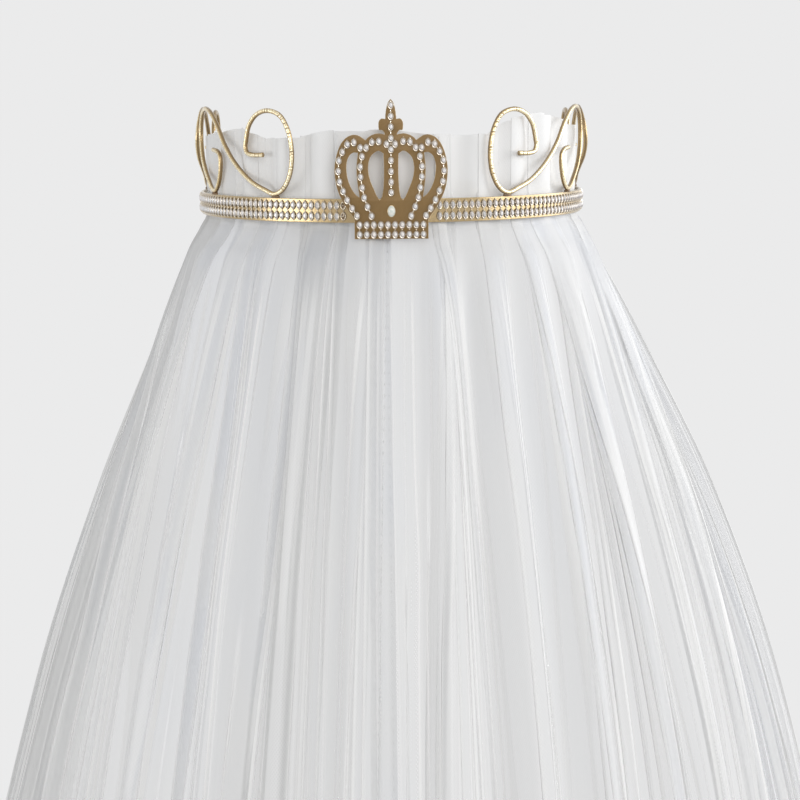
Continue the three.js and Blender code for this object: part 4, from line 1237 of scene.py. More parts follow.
# Where a cup is given painted shade: its floor round the stone, and a ring round its outer foot
FLOOR_MARK = (1.03, 0.5)
FOOT_MARK = (1.12, 1.3)
FOOT_SHADE = 0.8
LINK_SIZE = 0.8 * MM
LINK_LIFT = 0.45 * MM


def oval(width, height, count, turn=0.0):
    angles = np.linspace(0, 2 * math.pi, count, endpoint=False) + turn
    return np.stack([width / 2 * np.sin(angles), height / 2 * np.cos(angles)], axis=1)


def crystal_pattern(name, width, height, crown_painted_light, table_painted_light):
    """An oval cut stone: girdle, crown facets and a table, each face with its share of painted light; facets away
    from the upper right get painted shade.
    """
    work = bmesh.new()
    layers = []
    for across, up, turned, level in CRYSTAL_RINGS:
        points = oval(width * across, height * up, CRYSTAL_SIDES, turned * math.pi / CRYSTAL_SIDES)
        layers.append([work.verts.new((x, y, STONE_RISE * level)) for x, y in points])
    for number in range(CRYSTAL_SIDES):
        ahead = (number + 1) % CRYSTAL_SIDES
        work.faces.new((layers[0][number], layers[0][ahead], layers[1][ahead], layers[1][number]))
        work.faces.new((layers[1][number], layers[1][ahead], layers[2][number]))
        work.faces.new((layers[1][ahead], layers[2][ahead], layers[2][number]))
        work.faces.new((layers[2][number], layers[3][ahead], layers[3][number]))
        work.faces.new((layers[2][number], layers[2][ahead], layers[3][ahead]))
    work.faces.new(layers[3])
    work.faces.new(layers[0][::-1])
    bmesh.ops.recalc_face_normals(work, faces=work.faces)
    random = np.random.default_rng(5)
    shares = []
    for face in work.faces:
        # Painted light by each face's slope: faces turned to the upper right are lighter
        tilt = PAINTED_LIGHT_TILT * (face.normal.x + face.normal.y)
        share = crown_painted_light + tilt + random.uniform(-FACET_SCATTER, FACET_SCATTER)
        shares.append(table_painted_light if face.normal.z > TABLE_LEVELNESS else min(max(share, 0), 1))
    mesh = mesh_from_work(name, work)
    stored = mesh.attributes.new("painted_facet_light", "FLOAT", "FACE")
    stored.data.foreach_set("value", np.array(shares, np.float32))
    return bpy.data.objects.new(name, mesh)


def cup_pattern(name, width, height):
    """An oval cup with a raised rim and four pointed claws, with painted shade on its floor and round its outer
    foot.
    """
    rings = []
    for scale, level in CUP_PROFILE:
        points = oval(width * scale, height * scale, CUP_SIDES)
        rings.append([(x, y, STONE_RISE * level) for x, y in points])
    ring = outward(grid_mesh("cup_ring", np.array(rings), closed_across=True, closed_along=True))
    work = bmesh.new()
    work.from_mesh(ring)
    floor_share, floor_level = CUP_FLOOR
    floor_points = oval(width * floor_share, height * floor_share, CUP_SIDES)
    floor = [work.verts.new((x, y, floor_level * STONE_RISE)) for x, y in floor_points]
    work.faces.new(floor[::-1])
    claws = [
        (0, 1, height / 2, END_CLAW_REACH), (0, -1, height / 2, END_CLAW_REACH),
        (1, 0, width / 2, SIDE_CLAW_REACH), (-1, 0, width / 2, SIDE_CLAW_REACH),
    ]
    for way_x, way_y, reach, stretch in claws:
        base = Vector((way_x, way_y, 0)) * reach
        side = Vector((way_y, way_x, 0)) * CLAW_HALF_WIDTH

        def corner(share, level, sideways=0):
            return work.verts.new(base * share + side * sideways + Vector((0, 0, level * STONE_RISE)))

        tip = corner(stretch, CLAW_TIP_LEVEL)
        top = corner(*CLAW_TOP)
        low = [corner(*CLAW_FOOT, sideways) for sideways in (-1, 1)]
        inner = corner(*CLAW_BACK)
        for corners in (
            (tip, low[0], top), (tip, top, low[1]), (low[0], inner, top), (low[1], top, inner),
            (tip, low[1], inner), (tip, inner, low[0]),
        ):
            work.faces.new(corners)
    bmesh.ops.recalc_face_normals(work, faces=work.faces)
    mesh = mesh_from_work(name, work)
    # Painted shade on the floor round the stone and a painted contact shadow round the outer foot
    shaded = []
    for vertex in mesh.vertices:
        reach = 2 * math.hypot(vertex.co.x / width, vertex.co.y / height)
        on_floor = reach < FLOOR_MARK[0] and vertex.co.z < FLOOR_MARK[1] * STONE_RISE
        shaded.append(1.0 if on_floor else FOOT_SHADE * (FOOT_MARK[0] < reach < FOOT_MARK[1]))
    set_point_values(mesh, "painted_shade", shaded)
    return bpy.data.objects.new(name, mesh)


def build_stone_set(node, points, edges, facings, crystal, cup, seed, empty=()):
    """Cups with links for every point, and a crystal in each cup that isn't empty."""
    layout = layout_mesh(node + "_cups", points, edges, facings)
    cups = grown(f"{node}_cups", layout, SET_CUPS, {
        "Cup": cup, "Link Width": LINK_SIZE, "Link Thickness": LINK_SIZE, "Link Lift": LINK_LIFT,
        "Finish": SILVER_SETTING,
    })
    settle(cups, node)
    kept = [number for number in range(len(points)) if number not in empty]
    layout = layout_mesh(node + "_crystals", [points[n] for n in kept], [], [facings[n] for n in kept])
    crystals = grown(f"{node}_crystals", layout, SET_CRYSTALS, {
        "Crystal": crystal, "Tint Seed": seed, "Finish": CRYSTAL,
    }, smooth_angle=STONE_SMOOTH_ANGLE)
    settle(crystals, node, slot="crystal")


def plate_stone_places(shares):
    return [Vector((x, PLATE_FRONT - GAP, z)) for x, z in (plate_point(*share) for share in shares)]


def chain_edges(count):
    return [(number, number + 1) for number in range(count - 1)]


def build_plate_stones(crystal, cup):
    front = Vector((0, -1, 0))
    places = plate_stone_places(MIDDLE_STONE_SHARES + CROSS_STONE_SHARES)
    last = len(MIDDLE_STONE_SHARES)
    edges = chain_edges(last) + [(last, last + 1), (3, last), (3, last + 1), (4, last), (4, last + 1)]
    build_stone_set("plate_stones_middle", places, edges, [front] * len(places), crystal, cup, 1)
    seed = 1
    rows = (("top", TOP_STONE_SHARES), ("outer", OUTER_STONE_SHARES), ("inner", INNER_STONE_SHARES))
    for row_name, shares in rows:
        for side, side_name in SIDES:
            seed += 1
            places = plate_stone_places([(side * across, up) for across, up in shares])
            name = f"plate_stones_{row_name}_{side_name}"
            build_stone_set(name, places, chain_edges(len(places)), [front] * len(places), crystal, cup, seed)
    places, edges = [], []
    for row in range(2):
        for index in range(BASE_STONE_COUNT):
            across = (index - (BASE_STONE_COUNT - 1) / 2) * BASE_STONE_PITCH
            height = PLATE_BOTTOM + BASE_ROW_FIRST + row * BASE_ROW_PITCH
            places.append(Vector((across, PLATE_FRONT - GAP, height)))
            number = len(places) - 1
            if index > 0:
                edges.append((number - 1, number))
            if row > 0:
                edges.append((number - BASE_STONE_COUNT, number))
    build_stone_set("plate_stones_base", places, edges, [front] * len(places), crystal, cup, seed + 1)


def build_strips(crystal, cup):
    """Two rows of stones round each half of the band; the left strip's first settings are empty."""
    columns = int((BAND_END - STRIP_END_MARGIN - STRIP_START) / STRIP_PITCH)
    for side, side_name in SIDES:
        places, edges, facings, empty = [], [], [], []
        for column in range(columns):
            run = side * (STRIP_START + (column + 0.5) * STRIP_PITCH)
            for row in (0, 1):
                places.append(band_place(run, RING_RADIUS + GAP, (row - 0.5) * STRIP_ROW_PITCH))
                facings.append(band_facing(run))
                number = len(places) - 1
                if row == 1:
                    edges.append((number - 1, number))
                if column > 0:
                    edges.append((number - 2, number))
                if side < 0 and column < EMPTY_SETTINGS:
                    empty.append(number)
        build_stone_set(f"band_stones_{side_name}", places, edges, facings, crystal, cup, 20 + side, set(empty))


PEARL_SIDES = 40
PEARL_LEVELS = 12
RIM_STATIONS = 48
RIM_SIDES = 8
RIM_SHARE = 0.09
RIM_RADIUS = 0.4 * MM
RIM_LIFT = 0.45 * MM


def build_pearl():
    """A drop-shaped half pearl with a thin gold rim round its foot."""
    width = pearl_high.x - pearl_low.x
    height = pearl_high.z - pearl_low.z
    rise = pearl_high.y - pearl_low.y
    centre = Vector((0, pearl_high.y, (pearl_low.z + pearl_high.z) / 2))
    rows = []
    for level in range(PEARL_LEVELS + 1):
        angle = math.pi / 2 * level / PEARL_LEVELS
        reach = max(math.cos(angle), 0.01)
        rows.append([
            centre + Vector((width / 2 * reach * math.sin(turn), -rise * math.sin(angle),
                             height / 2 * reach * math.cos(turn)))
            for turn in np.linspace(0, 2 * math.pi, PEARL_SIDES, endpoint=False)
        ])
    mesh = outward(grid_mesh("half_pearl", np.array(rows), closed_across=True, caps=True))
    settle(finish_mesh("half_pearl", mesh, PEARL), "pearl", slot="pearl")
    rows = []
    for turn in np.linspace(0, 2 * math.pi, RIM_STATIONS, endpoint=False):
        way = Vector((math.sin(turn) * width / 2, 0, math.cos(turn) * height / 2))
        ring = []
        for step in range(RIM_SIDES):
            angle = 2 * math.pi * step / RIM_SIDES
            grow = 1 + RIM_SHARE * math.cos(angle)
            ring.append(centre + way * grow + Vector((0, -RIM_LIFT - RIM_RADIUS * math.sin(angle), 0)))
        rows.append(ring)
    rim = outward(grid_mesh("pearl_rim", np.array(rows), closed_across=True, closed_along=True))
    settle(finish_mesh("pearl_rim", rim, GOLD_BAND), slot="gold_band")


# Tapes, and the stitches on tapes and tulle

TAPE_EDGE_RADIUS = 0.4 * MM
TAPE_SEAM_SHARE = 0.36
TAPE_SEAM_STATIONS = 120
TAPE_SEAM_MARGIN = 2 * MM
# Pitch and length of the stitches, and their thread's radius
TAPE_STITCH = (3.2 * MM, 2.5 * MM, 0.3 * MM)
SELVAGE_STITCH = (10.5 * MM, 1.6 * MM, 0.5 * MM)
HEM_STITCH = (4 * MM, 3 * MM, 0.25 * MM)


def sew(name, points, edges, stitch):
    """Stitches along the edges of a line of points."""
    mesh = bpy.data.meshes.new("stitch_line")
    mesh.from_pydata([tuple(point) for point in points], edges, [])
    pitch, length, thread_radius = stitch
    stitches = grown(name, mesh, LAY_STITCHES, {
        "Stitch Pitch": pitch, "Stitch Length": length, "Thread Radius": thread_radius, "Finish": THREAD,
    })
    return settle(stitches, slot="tape")


def build_tapes():
    hook_height = hook_high.z - hook_low.z
    loop_height = loop_high.z - loop_low.z
    strips = [
        ("hook_strip", "hook_tape", HOOK_OUTER, hook_height, -TAPE_END, TAPE_END),
        ("loop_strip_left", "loop_tape_left", LOOP_OUTER, loop_height, -TAPE_END, -PANEL_PARTING / 2),
        ("loop_strip_right", "loop_tape_right", LOOP_OUTER, loop_height, PANEL_PARTING / 2, TAPE_END),
    ]
    for name, node, radius, height, start, end in strips:
        strip = band_ribbon(name, radius, TAPE_THICKNESS, height, TAPE_EDGE_RADIUS, start, end, TAPE)
        section = rounded_section(TAPE_THICKNESS, height, TAPE_EDGE_RADIUS)
        runs = np.linspace(start, end, BAND_STATIONS)
        set_cloth_map(strip.data, [(run, level) for run in runs for depth, level in section])
        settle(strip, node, slot="tape")


def build_tape_stitches():
    """Two rows of stitches that hold each loop tape to the gathered tulle."""
    loop_height = loop_high.z - loop_low.z
    inner = LOOP_OUTER - TAPE_THICKNESS
    for side, side_name in SIDES:
        points, edges = [], []
        for level in (-TAPE_SEAM_SHARE, TAPE_SEAM_SHARE):
            first = len(points)
            for run in np.linspace(PANEL_PARTING, TAPE_END - TAPE_SEAM_MARGIN, TAPE_SEAM_STATIONS):
                points.append(band_place(side * run, inner, level * loop_height))
            edges += [(number, number + 1) for number in range(first, len(points) - 1)]
        sew(f"tape_stitches_{side_name}", points, edges, TAPE_STITCH)


# Veil: its pleats, in shares of the cloth and of the drop unless a length is given

PLEAT_SEEDS = {-1: 11, 1: 12}
WIDE_PLEAT_WIDTHS = (28, 52)
NARROW_PLEAT_WIDTHS = (8, 24)
LATE_PLEAT_SHARE = 0.35
LATE_PLEAT_STARTS = (0.03, 0.4)
UPPER_FOLD_SHARES = (0.6, 1.4)
LOWER_FOLD_SHARES = (0.15, 2.0)
FACE_LEAN = 0.16
SETTLED_DROP = 0.9
LATE_PLEAT_GROWTH = 0.14
LATE_PLEAT_PEAK = 1.4
WIDEST_FOLD_SHARE = 0.8
FOLD_BEND = 3.6 * MM
GATHERED_BEND = 5 * MM
BEND_FADE = 0.03
MOST_FOLDED = 1.2
FOLDING_STEPS = 18
LARGEST_WIDTH_SHARE = 0.97
HEADING_ROWS = 12
HEADING_FOOT_SHARE = 0.08
DRAPE_ROW_STEPS = 8
HEM_PLAN_STEPS = 4000
PLAN_STATIONS = 1500
PRESS_FADE = 42
STEP_FADE_SPREAD = 0.3
STEP_LAST_SPREAD = 0.8
SWING_AT_BAND = 0.3
SWING_IN_HEADING = 0.5
SWING_BELOW = 0.7
SWING_SPREAD = 0.2
PRESSED_SWING = 0.5
CREASE_GAIN = 1.1
HEADING_CREASE_LOSS = 0.8
HEADING_CREASE_REACH = 0.3
GATHERED_CREASE_SHARE = 0.5
STEP_RISE_LENGTH = 60 * MM
STEP_FALL_LENGTH = 9 * MM
CALM_START = 14 * MM
CALM_SPAN = 12 * MM
CALM_END = 0.012
TOP_WAVES = [(23, 2.2), (90, 1.1)]
DRIFT_REACH = CLOTH_COLUMNS // WIDE_PLEATS
DRAPE_REACH = CLOTH_COLUMNS // 20
DEEPEST_HEADING_FOLD = 9 * MM
PROUDEST_HEADING_FOLD = 0.8 * MM
LOOSE_START = 25 * MM
LOOSE_SPAN = 70 * MM
SELVAGE_COVER = 0.3
SELVAGE_WIDTH = 4 * MM
HEADING_COVER = 1.04
HEM_COVER = 0.3
HEM_WIDTH = 22 * MM
OPEN_TULLE_COVER = 0.42
TONE_COVER = 0.06
PLEAT_TONE_SHARE = 0.1
GATHER_COVER = 0.34
GATHER_FADE = 0.05
HEADING_PAINTED_LIGHT = 0.9
SELVAGE_FIRST_ROW = 17
SELVAGE_COLUMN = 2


def hem_plan(count):
    """Half of the hem's plan, from the middle of the front to the wall, at even spacing."""
    depth = HEM_REACH - WALL_MARGIN
    power = 2 / HEM_ROUNDNESS
    angles = np.linspace(0, math.pi / 2, HEM_PLAN_STEPS)
    drawn = np.stack([
        HEM_HALF_WIDTH * np.sin(angles) ** power,
        -WALL_MARGIN - depth * np.maximum(np.cos(angles), 0) ** power,
    ], axis=1)
    return even_points(drawn, count)


def smooth_line(values, reach):
    """The same values without what swings faster than the reach, in columns."""
    kernel = np.exp(-0.5 * (np.arange(-3 * reach, 3 * reach + 1) / reach) ** 2)
    kernel /= kernel.sum()
    padded = np.pad(values, 3 * reach, mode="edge")
    return np.convolve(padded, kernel, mode="valid")


def choose_pleats(random):
    """Pleats of random width across the cloth: how far each folds back above and below, and where it begins."""
    count = WIDE_PLEATS + NARROW_PLEATS
    widths = np.concatenate([
        random.uniform(*WIDE_PLEAT_WIDTHS, WIDE_PLEATS), random.uniform(*NARROW_PLEAT_WIDTHS, NARROW_PLEATS),
    ])
    random.shuffle(widths)
    edges = np.concatenate([[0], np.cumsum(widths)]) / widths.sum()
    begins = np.where(random.random(count) < LATE_PLEAT_SHARE, random.uniform(*LATE_PLEAT_STARTS, count), -1)
    return {
        "edges": edges,
        "widths": np.diff(edges) * CLOTH_WIDTH,
        "turns": random.choice([-1, 1], count),
        "upper": random.uniform(*UPPER_FOLD_SHARES, count),
        "lower": random.uniform(*LOWER_FOLD_SHARES, count),
        "begins": begins,
        "lean": random.uniform(-FACE_LEAN, FACE_LEAN, count + 1),
        "tone": random.uniform(-1, 1, count),
    }


def pleat_angles(pleats, share, drop, back_share):
    """The cloth's angle to its base line at each column: broad faces, and strips folded back between them."""
    number = np.clip(np.searchsorted(pleats["edges"], share, side="right") - 1, 0, len(pleats["widths"]) - 1)
    widths = pleats["widths"][number]
    phase = (share - pleats["edges"][number]) * CLOTH_WIDTH / widths
    settled = min(drop / SETTLED_DROP, 1)
    weight = pleats["upper"] + (pleats["lower"] - pleats["upper"]) * settled
    weight = weight * np.clip((drop - pleats["begins"]) / LATE_PLEAT_GROWTH, 0, LATE_PLEAT_PEAK)
    back = np.clip(weight * back_share, 0, WIDEST_FOLD_SHARE)[number] * widths / 2
    bend = FOLD_BEND + GATHERED_BEND * math.exp(-drop / BEND_FADE)
    folded = smooth_step((back - np.abs(phase - 0.5) * widths) / bend + 0.5) * np.clip(back / (0.5 * bend), 0, 1)
    lean = np.interp(share, pleats["edges"], pleats["lean"])
    return lean * (1 - folded) + pleats["turns"][number] * math.pi * folded


def solve_pleats(pleats, share, drop, wanted, calm):
    """Folds back so much of the cloth that its width takes up the wanted share of its own length."""
    low, high = 0.0, MOST_FOLDED
    for _ in range(FOLDING_STEPS):
        middle = (low + high) / 2
        if np.cos(pleat_angles(pleats, share, drop, middle) * calm).mean() > wanted:
            low = middle
        else:
            high = middle
    return pleat_angles(pleats, share, drop, middle) * calm


def veil_levels():
    """Rows of the veil from the heading's top edge to the hem: height, spread, fold depth, share of the drop."""
    heading = [
        (BAND_TOP + HEADING_HEIGHT * share, 0, HEADING_FOLD_DEPTH, 0)
        for share in np.linspace(1, HEADING_FOOT_SHARE, HEADING_ROWS)
    ]
    tape = [(level, 0, GATHER_FOLD_DEPTH, 0) for level in (loop_high.z, 0, loop_low.z)]
    below = [
        (BAND_BOTTOM - share * FALL, spread, fold * FOLD_DEPTH, share)
        for share, spread, fold in spline_points(DRAPE_SHARES, DRAPE_ROW_STEPS)
    ]
    return [*heading, *tape, *below]


def panel_base(side, runs, shares, hem, spread, fold):
    """The line that a row of the panel follows, in plan, for the right-hand side, with its main folds."""
    top_lap, hem_lap = FRONT_LAPS[side]
    gather = np.array([band_place(run, GATHER_RADIUS, 0)[:2] for run in runs])
    gather[:, 0] -= top_lap * (1 - shares)
    outer = hem.copy()
    outer[:, 0] -= hem_lap * (1 - shares)
    press = np.exp(-((runs / PLATE_PRESS_LENGTH) ** 2)) * math.exp(-spread * PRESS_FADE)
    reach = spread * (1 - PLATE_PRESS_SHARE * press)
    base = gather + (outer - gather) * reach[:, None]
    opened = np.clip(shares / LAP_FADE_SHARE, 0, 1)
    swing = side * ((1 - opened) * (LAP_OFFSET + LAP_FOLD_SHARE * fold))
    swing = swing + side * opened * fold * np.cos(2 * math.pi * FOLD_COUNT * shares)
    swing = swing - side_tuck(side, runs, spread)
    return base + outward_of(base) * swing[:, None], press


def side_tuck(side, runs, spread):
    """How far a panel's side lies in from its even spread: drawn in under the band and fuller lower down,
    with its front part a step further in than its last stretch by the wall."""
    tuck, flare = SIDE_DRAPES[side]
    drawn = tuck * smooth_step(spread / TUCK_SPREAD) - 4 * flare * spread * (1 - spread)
    sunk = smooth_step((runs - STEP_START) / STEP_RISE_LENGTH) * smooth_step((STEP_END - runs) / STEP_FALL_LENGTH)
    begun = smooth_step(spread / STEP_FADE_SPREAD) * smooth_step((STEP_LAST_SPREAD - spread) / STEP_FADE_SPREAD)
    step = STEP_DEPTH * sunk * begun
    return drawn * smooth_step((runs - SIDE_START) / (SIDE_FULL - SIDE_START)) + step


def outward_of(line):
    """Level directions square to a line in plan, pointing out of the crown on the right-hand side."""
    slope = np.gradient(line, axis=0)
    slope /= np.linalg.norm(slope, axis=1)[:, None]
    return np.stack([slope[:, 1], -slope[:, 0]], axis=1)


def row_cover(side, height, drop, share, tone):
    """How much of one layer is thread: more in the doubled heading, at the gathers, hem and selvage."""
    selvage = SELVAGE_COVER * smooth_step(2 - share * CLOTH_WIDTH / SELVAGE_WIDTH)
    if height > BAND_BOTTOM:
        return np.full_like(share, HEADING_COVER)
    hem = HEM_COVER if height < HEM_HEIGHT + HEM_WIDTH else 0
    places, shares = zip(*COVER_SHARES[side])
    laid = np.interp(share, places, shares) * (OPEN_TULLE_COVER + TONE_COVER * tone)
    return laid + GATHER_COVER * math.exp(-drop / GATHER_FADE) + hem + selvage


def build_veil_panel(name, side, seed):
    """One sheet of tulle, row by row from its top edge: pleats laid along the drape's line at each height."""
    random = np.random.default_rng(seed)
    pleats = choose_pleats(random)
    share = np.linspace(0, 1, CLOTH_COLUMNS)
    tone = np.interp(share, pleats["edges"][1:], pleats["tone"])
    calm = smooth_step((share * CLOTH_WIDTH - CALM_START) / CALM_SPAN) * smooth_step((1 - share) / CALM_END)
    top_wave = sum(
        np.interp(share, np.linspace(0, 1, count), random.uniform(-size, size, count)) for count, size in TOP_WAVES
    )
    plan_share = np.linspace(0, 1, PLAN_STATIONS)
    runs = plan_share * (QUARTER + ARM_LENGTH - WALL_MARGIN)
    hem = hem_plan(len(runs))
    rows, cover, painted_panel_light, turned, loose, cloth_map = [], [], [], [], [], []
    for height, spread, fold, drop in veil_levels():
        base, press = panel_base(side, runs, plan_share, hem, spread, fold)
        base_length = np.linalg.norm(np.diff(base, axis=0), axis=1).sum()
        angles = solve_pleats(pleats, share, drop, min(base_length / CLOTH_WIDTH, LARGEST_WIDTH_SHARE), calm)
        advance = np.concatenate([[0], np.cumsum(np.cos(angles[:-1]))])
        drift = smooth_line(advance / advance[-1] - share, DRIFT_REACH)
        advance = np.clip(advance / advance[-1] - drift, 0, 1)
        lengths = np.concatenate([[0], np.cumsum(np.linalg.norm(np.diff(base, axis=0), axis=1))])
        advance = np.interp(advance, lengths / lengths[-1], plan_share)
        swing = np.concatenate([[0], np.cumsum(np.sin(angles[:-1]))]) * CLOTH_WIDTH / CLOTH_COLUMNS
        swing = (swing - smooth_line(swing, DRIFT_REACH)) * calm
        above = max(height - BAND_TOP, 0) / HEADING_HEIGHT
        swing *= SWING_AT_BAND + SWING_IN_HEADING * above + SWING_BELOW * min(spread / SWING_SPREAD, 1)
        if above > 0:
            swing = np.clip(swing, -DEEPEST_HEADING_FOLD, PROUDEST_HEADING_FOLD)
            swing = smooth_line(swing, HEADING_SMOOTHING)
        swing *= 1 - PRESSED_SWING * np.interp(advance, plan_share, press)
        outward_way = outward_of(base)
        place = np.stack([np.interp(advance, plan_share, base[:, axis]) for axis in (0, 1)], axis=1)
        way = np.stack([np.interp(advance, plan_share, outward_way[:, axis]) for axis in (0, 1)], axis=1)
        place += way * swing[:, None]
        table = np.array(HEADING_TOPS[side]) * MM
        edge = np.interp(advance * runs[-1], table[:, 0], table[:, 1]) + top_wave * MM
        level = height + (BAND_BOTTOM + edge - BAND_TOP - HEADING_HEIGHT) * above
        rows.append(np.stack([side * place[:, 0], place[:, 1], level], axis=1))
        cloth_map.append(np.stack([share * CLOTH_WIDTH, np.full_like(share, -height)], axis=1))
        # Where a pleat turns over: more thread, and a painted highlight in the tulle
        crease = smooth_line(np.abs(np.gradient(angles)), 1)
        loose.append(np.full_like(share, smooth_step((drop * FALL - LOOSE_START) / LOOSE_SPAN)))
        open_share = GATHERED_CREASE_SHARE + (1 - GATHERED_CREASE_SHARE) * loose[-1]
        heading_share = 1 - HEADING_CREASE_LOSS * smooth_step(above / HEADING_CREASE_REACH)
        turned.append(np.clip(crease * CREASE_GAIN, 0, 1) * heading_share * open_share)
        cover.append(row_cover(side, height, drop, share, tone))
        # Painted light and shade along the panel, with a random tone for each pleat
        painted_panel_light.append(np.interp(share, *zip(*PAINTED_PANEL_LIGHT_SHARES[side])) + PLEAT_TONE_SHARE * tone)
    points = np.array(rows)
    mesh = grid_mesh(name, points)
    set_point_values(mesh, "cover", cover)
    set_point_values(mesh, "painted_panel_light", np.clip(painted_panel_light, 0, 1))
    set_point_values(mesh, "turned", turned)
    set_point_values(mesh, "loose", loose)
    # The rows behind the band and the heading above it are painted lighter
    set_point_values(mesh, "heading", smooth_step((points[..., 2] - BAND_BOTTOM) / BAND_HEIGHT) * HEADING_PAINTED_LIGHT)
    set_drape(mesh, points, side)
    set_cloth_map(mesh, np.array(cloth_map).reshape(-1, 2))
    return finish_mesh(name, mesh, TULLE, math.pi), points


def set_drape(mesh, points, side):
    """Stores for each point which way the drape faces there, without its pleats."""
    smooth = np.stack([
        np.stack([smooth_line(row[:, axis], DRAPE_REACH) for axis in range(3)], axis=1) for row in points
    ])
    normals = side * np.cross(np.gradient(smooth, axis=0), np.gradient(smooth, axis=1))
    normals /= np.linalg.norm(normals, axis=2)[..., None]
    stored = mesh.attributes.new("drape", "FLOAT_VECTOR", "POINT")
    stored.data.foreach_set("vector", normals.astype(np.float32).ravel())


def build_veil():
    """The two panels, each with stitches along its hem and down its front edge."""
    for side, side_name in SIDES:
        panel, points = build_veil_panel(f"tulle_panel_{side_name}", side, PLEAT_SEEDS[side])
        settle(panel, f"veil_{side_name}", slot="tulle")
        hem_line = points[-2, ::2]
        selvage_line = points[SELVAGE_FIRST_ROW:, SELVAGE_COLUMN]
        stitches = [
            sew(f"hem_stitches_{side_name}", hem_line, chain_edges(len(hem_line)), HEM_STITCH),
            sew(f"selvage_stitches_{side_name}", selvage_line, chain_edges(len(selvage_line)), SELVAGE_STITCH),
        ]


# Floor, light and camera

FLOOR_RADIUS = 1.9
FLOOR_SIDES = 96
FLOOR_FADE = (0.55, 0.98)
FLOOR_TONES = ((0.8, 0.8, 0.802, 1), (0.84, 0.84, 0.842, 1))
LIGHT_TARGET = Vector((0, -0.3, -0.3))
# Place, width, height and power of each softbox
SOFTBOXES = {
    "right_softbox": ((2.7, -0.3, 0.5), 3.4, 1.8, 50),
    "left_softbox": ((-2.5, -1.65, -0.1), 1.5, 0.5, 12),
    "front_softbox": ((0.6, -3.3, 0.9), 2.0, 1.4, 24),
}


def build_floor():
    rows = [
        [(reach * math.cos(turn), -HEM_REACH / 2 + reach * math.sin(turn), HEM_HEIGHT - 1 * MM)
         for turn in np.linspace(0, 2 * math.pi, FLOOR_SIDES, endpoint=False)]
        for reach in (1 * MM, FLOOR_RADIUS)
    ]
    mesh = outward(grid_mesh("floor", np.array(rows), closed_across=True))
    material, tree, shader, coordinates = new_material("floor_paint")
    to_middle = (0, HEM_REACH / 2, -HEM_HEIGHT)
    centred = add_node(tree, "ShaderNodeMapping", {"Vector": coordinates, "Location": to_middle}).outputs[0]
    distance = vector_math(tree, "LENGTH", centred, output="Value")
    fade_start, fade_end = (FLOOR_RADIUS * share for share in FLOOR_FADE)
    tree.links.new(remap(tree, distance, fade_start, fade_end, 1.0, 0.0), shader.inputs["Alpha"])
    speckle = remap(tree, noise(tree, coordinates, 30.0), 0.3, 0.7)
    tree.links.new(blend_colors(tree, speckle, *FLOOR_TONES), shader.inputs["Base Color"])
    shader.inputs["Roughness"].default_value = 0.9
    floor = finish_mesh("floor", mesh, material)


def build_world():
    """Even studio light, and the plain pale background for what the camera, gloss and glass see."""
    world = bpy.data.worlds.new("studio")
    world.use_nodes = True
    bpy.context.scene.world = world
    tree = world.node_tree
    tree.nodes.clear()
    ambient = add_node(tree, "ShaderNodeBackground", {0: (1, 1, 1, 1), 1: AMBIENT_LEVEL})
    seen = add_node(tree, "ShaderNodeBackground", {0: BACKGROUND, 1: 1.0})
    rays = add_node(tree, "ShaderNodeLightPath").outputs
    visible = calculate(tree, "MAXIMUM", rays["Is Camera Ray"], rays["Is Glossy Ray"])
    visible = calculate(tree, "MAXIMUM", visible, rays["Is Transmission Ray"])
    mixed = add_node(tree, "ShaderNodeMixShader", {0: visible, 1: ambient.outputs[0], 2: seen.outputs[0]})
    output = tree.nodes.new("ShaderNodeOutputWorld")
    tree.links.new(mixed.outputs[0], output.inputs[0])


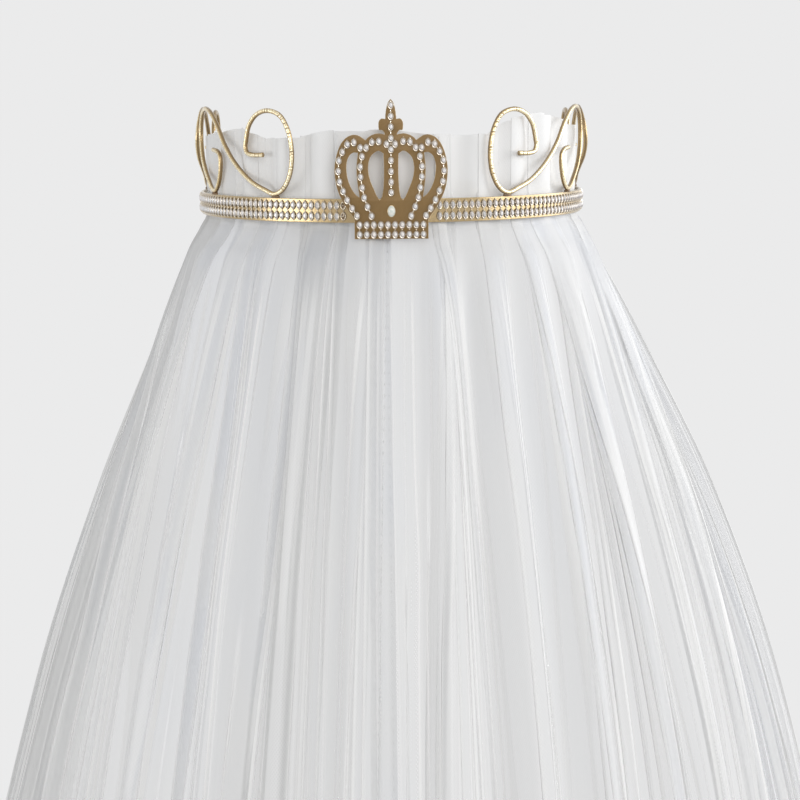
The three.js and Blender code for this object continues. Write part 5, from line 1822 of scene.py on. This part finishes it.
def build_lights():
    for name, (place, width, height, power) in SOFTBOXES.items():
        lamp = bpy.data.lights.new(name, "AREA")
        lamp.shape = "RECTANGLE"
        lamp.size = width
        lamp.size_y = height
        lamp.energy = power
        holder = bpy.data.objects.new(name, lamp)
        holder.location = place
        holder.rotation_euler = (LIGHT_TARGET - Vector(place)).to_track_quat("-Z", "Y").to_euler()
        bpy.context.scene.collection.objects.link(holder)


def build_camera():
    camera = bpy.data.cameras.new("camera")
    camera.lens = CAMERA_LENS
    camera.sensor_width = CAMERA_SENSOR
    camera.clip_start = 0.01
    camera.clip_end = 100
    holder = bpy.data.objects.new("camera", camera)
    ahead = Vector((
        math.sin(CAMERA_HEADING) * math.cos(CAMERA_PITCH), math.cos(CAMERA_HEADING) * math.cos(CAMERA_PITCH),
        -math.sin(CAMERA_PITCH),
    ))
    level_right = Vector((math.cos(CAMERA_HEADING), -math.sin(CAMERA_HEADING), 0))
    level_up = level_right.cross(ahead)
    right = level_right * math.cos(CAMERA_ROLL) + level_up * math.sin(CAMERA_ROLL)
    up = level_up * math.cos(CAMERA_ROLL) - level_right * math.sin(CAMERA_ROLL)
    turn = Matrix((right, up, -ahead)).transposed()
    holder.matrix_world = Matrix.Translation(CAMERA_PLACE) @ turn.to_4x4()
    bpy.context.scene.collection.objects.link(holder)
    bpy.context.scene.camera = holder


bpy.context.scene.view_settings.view_transform = "Standard"
bpy.context.scene.cycles.transparent_max_bounces = MANY_SHEER_LAYERS
build_camera()
build_world()
build_lights()
build_floor()
build_band()
build_wall_bar()
build_corner_welds()
build_scrolls()
build_plate()
plate_patterns = (
    crystal_pattern("plate_crystal", *PLATE_STONE_SIZE, *PLATE_PAINTED_LIGHT), cup_pattern("plate_cup", *PLATE_STONE_SIZE),
)
strip_patterns = (
    crystal_pattern("strip_crystal", *STRIP_STONE_SIZE, *STRIP_PAINTED_LIGHT), cup_pattern("strip_cup", *STRIP_STONE_SIZE),
)
build_plate_stones(*plate_patterns)
build_strips(*strip_patterns)
build_pearl()
build_tapes()
build_tape_stitches()
build_veil()

for pattern in (*plate_patterns, *strip_patterns):
    bpy.data.objects.remove(pattern)
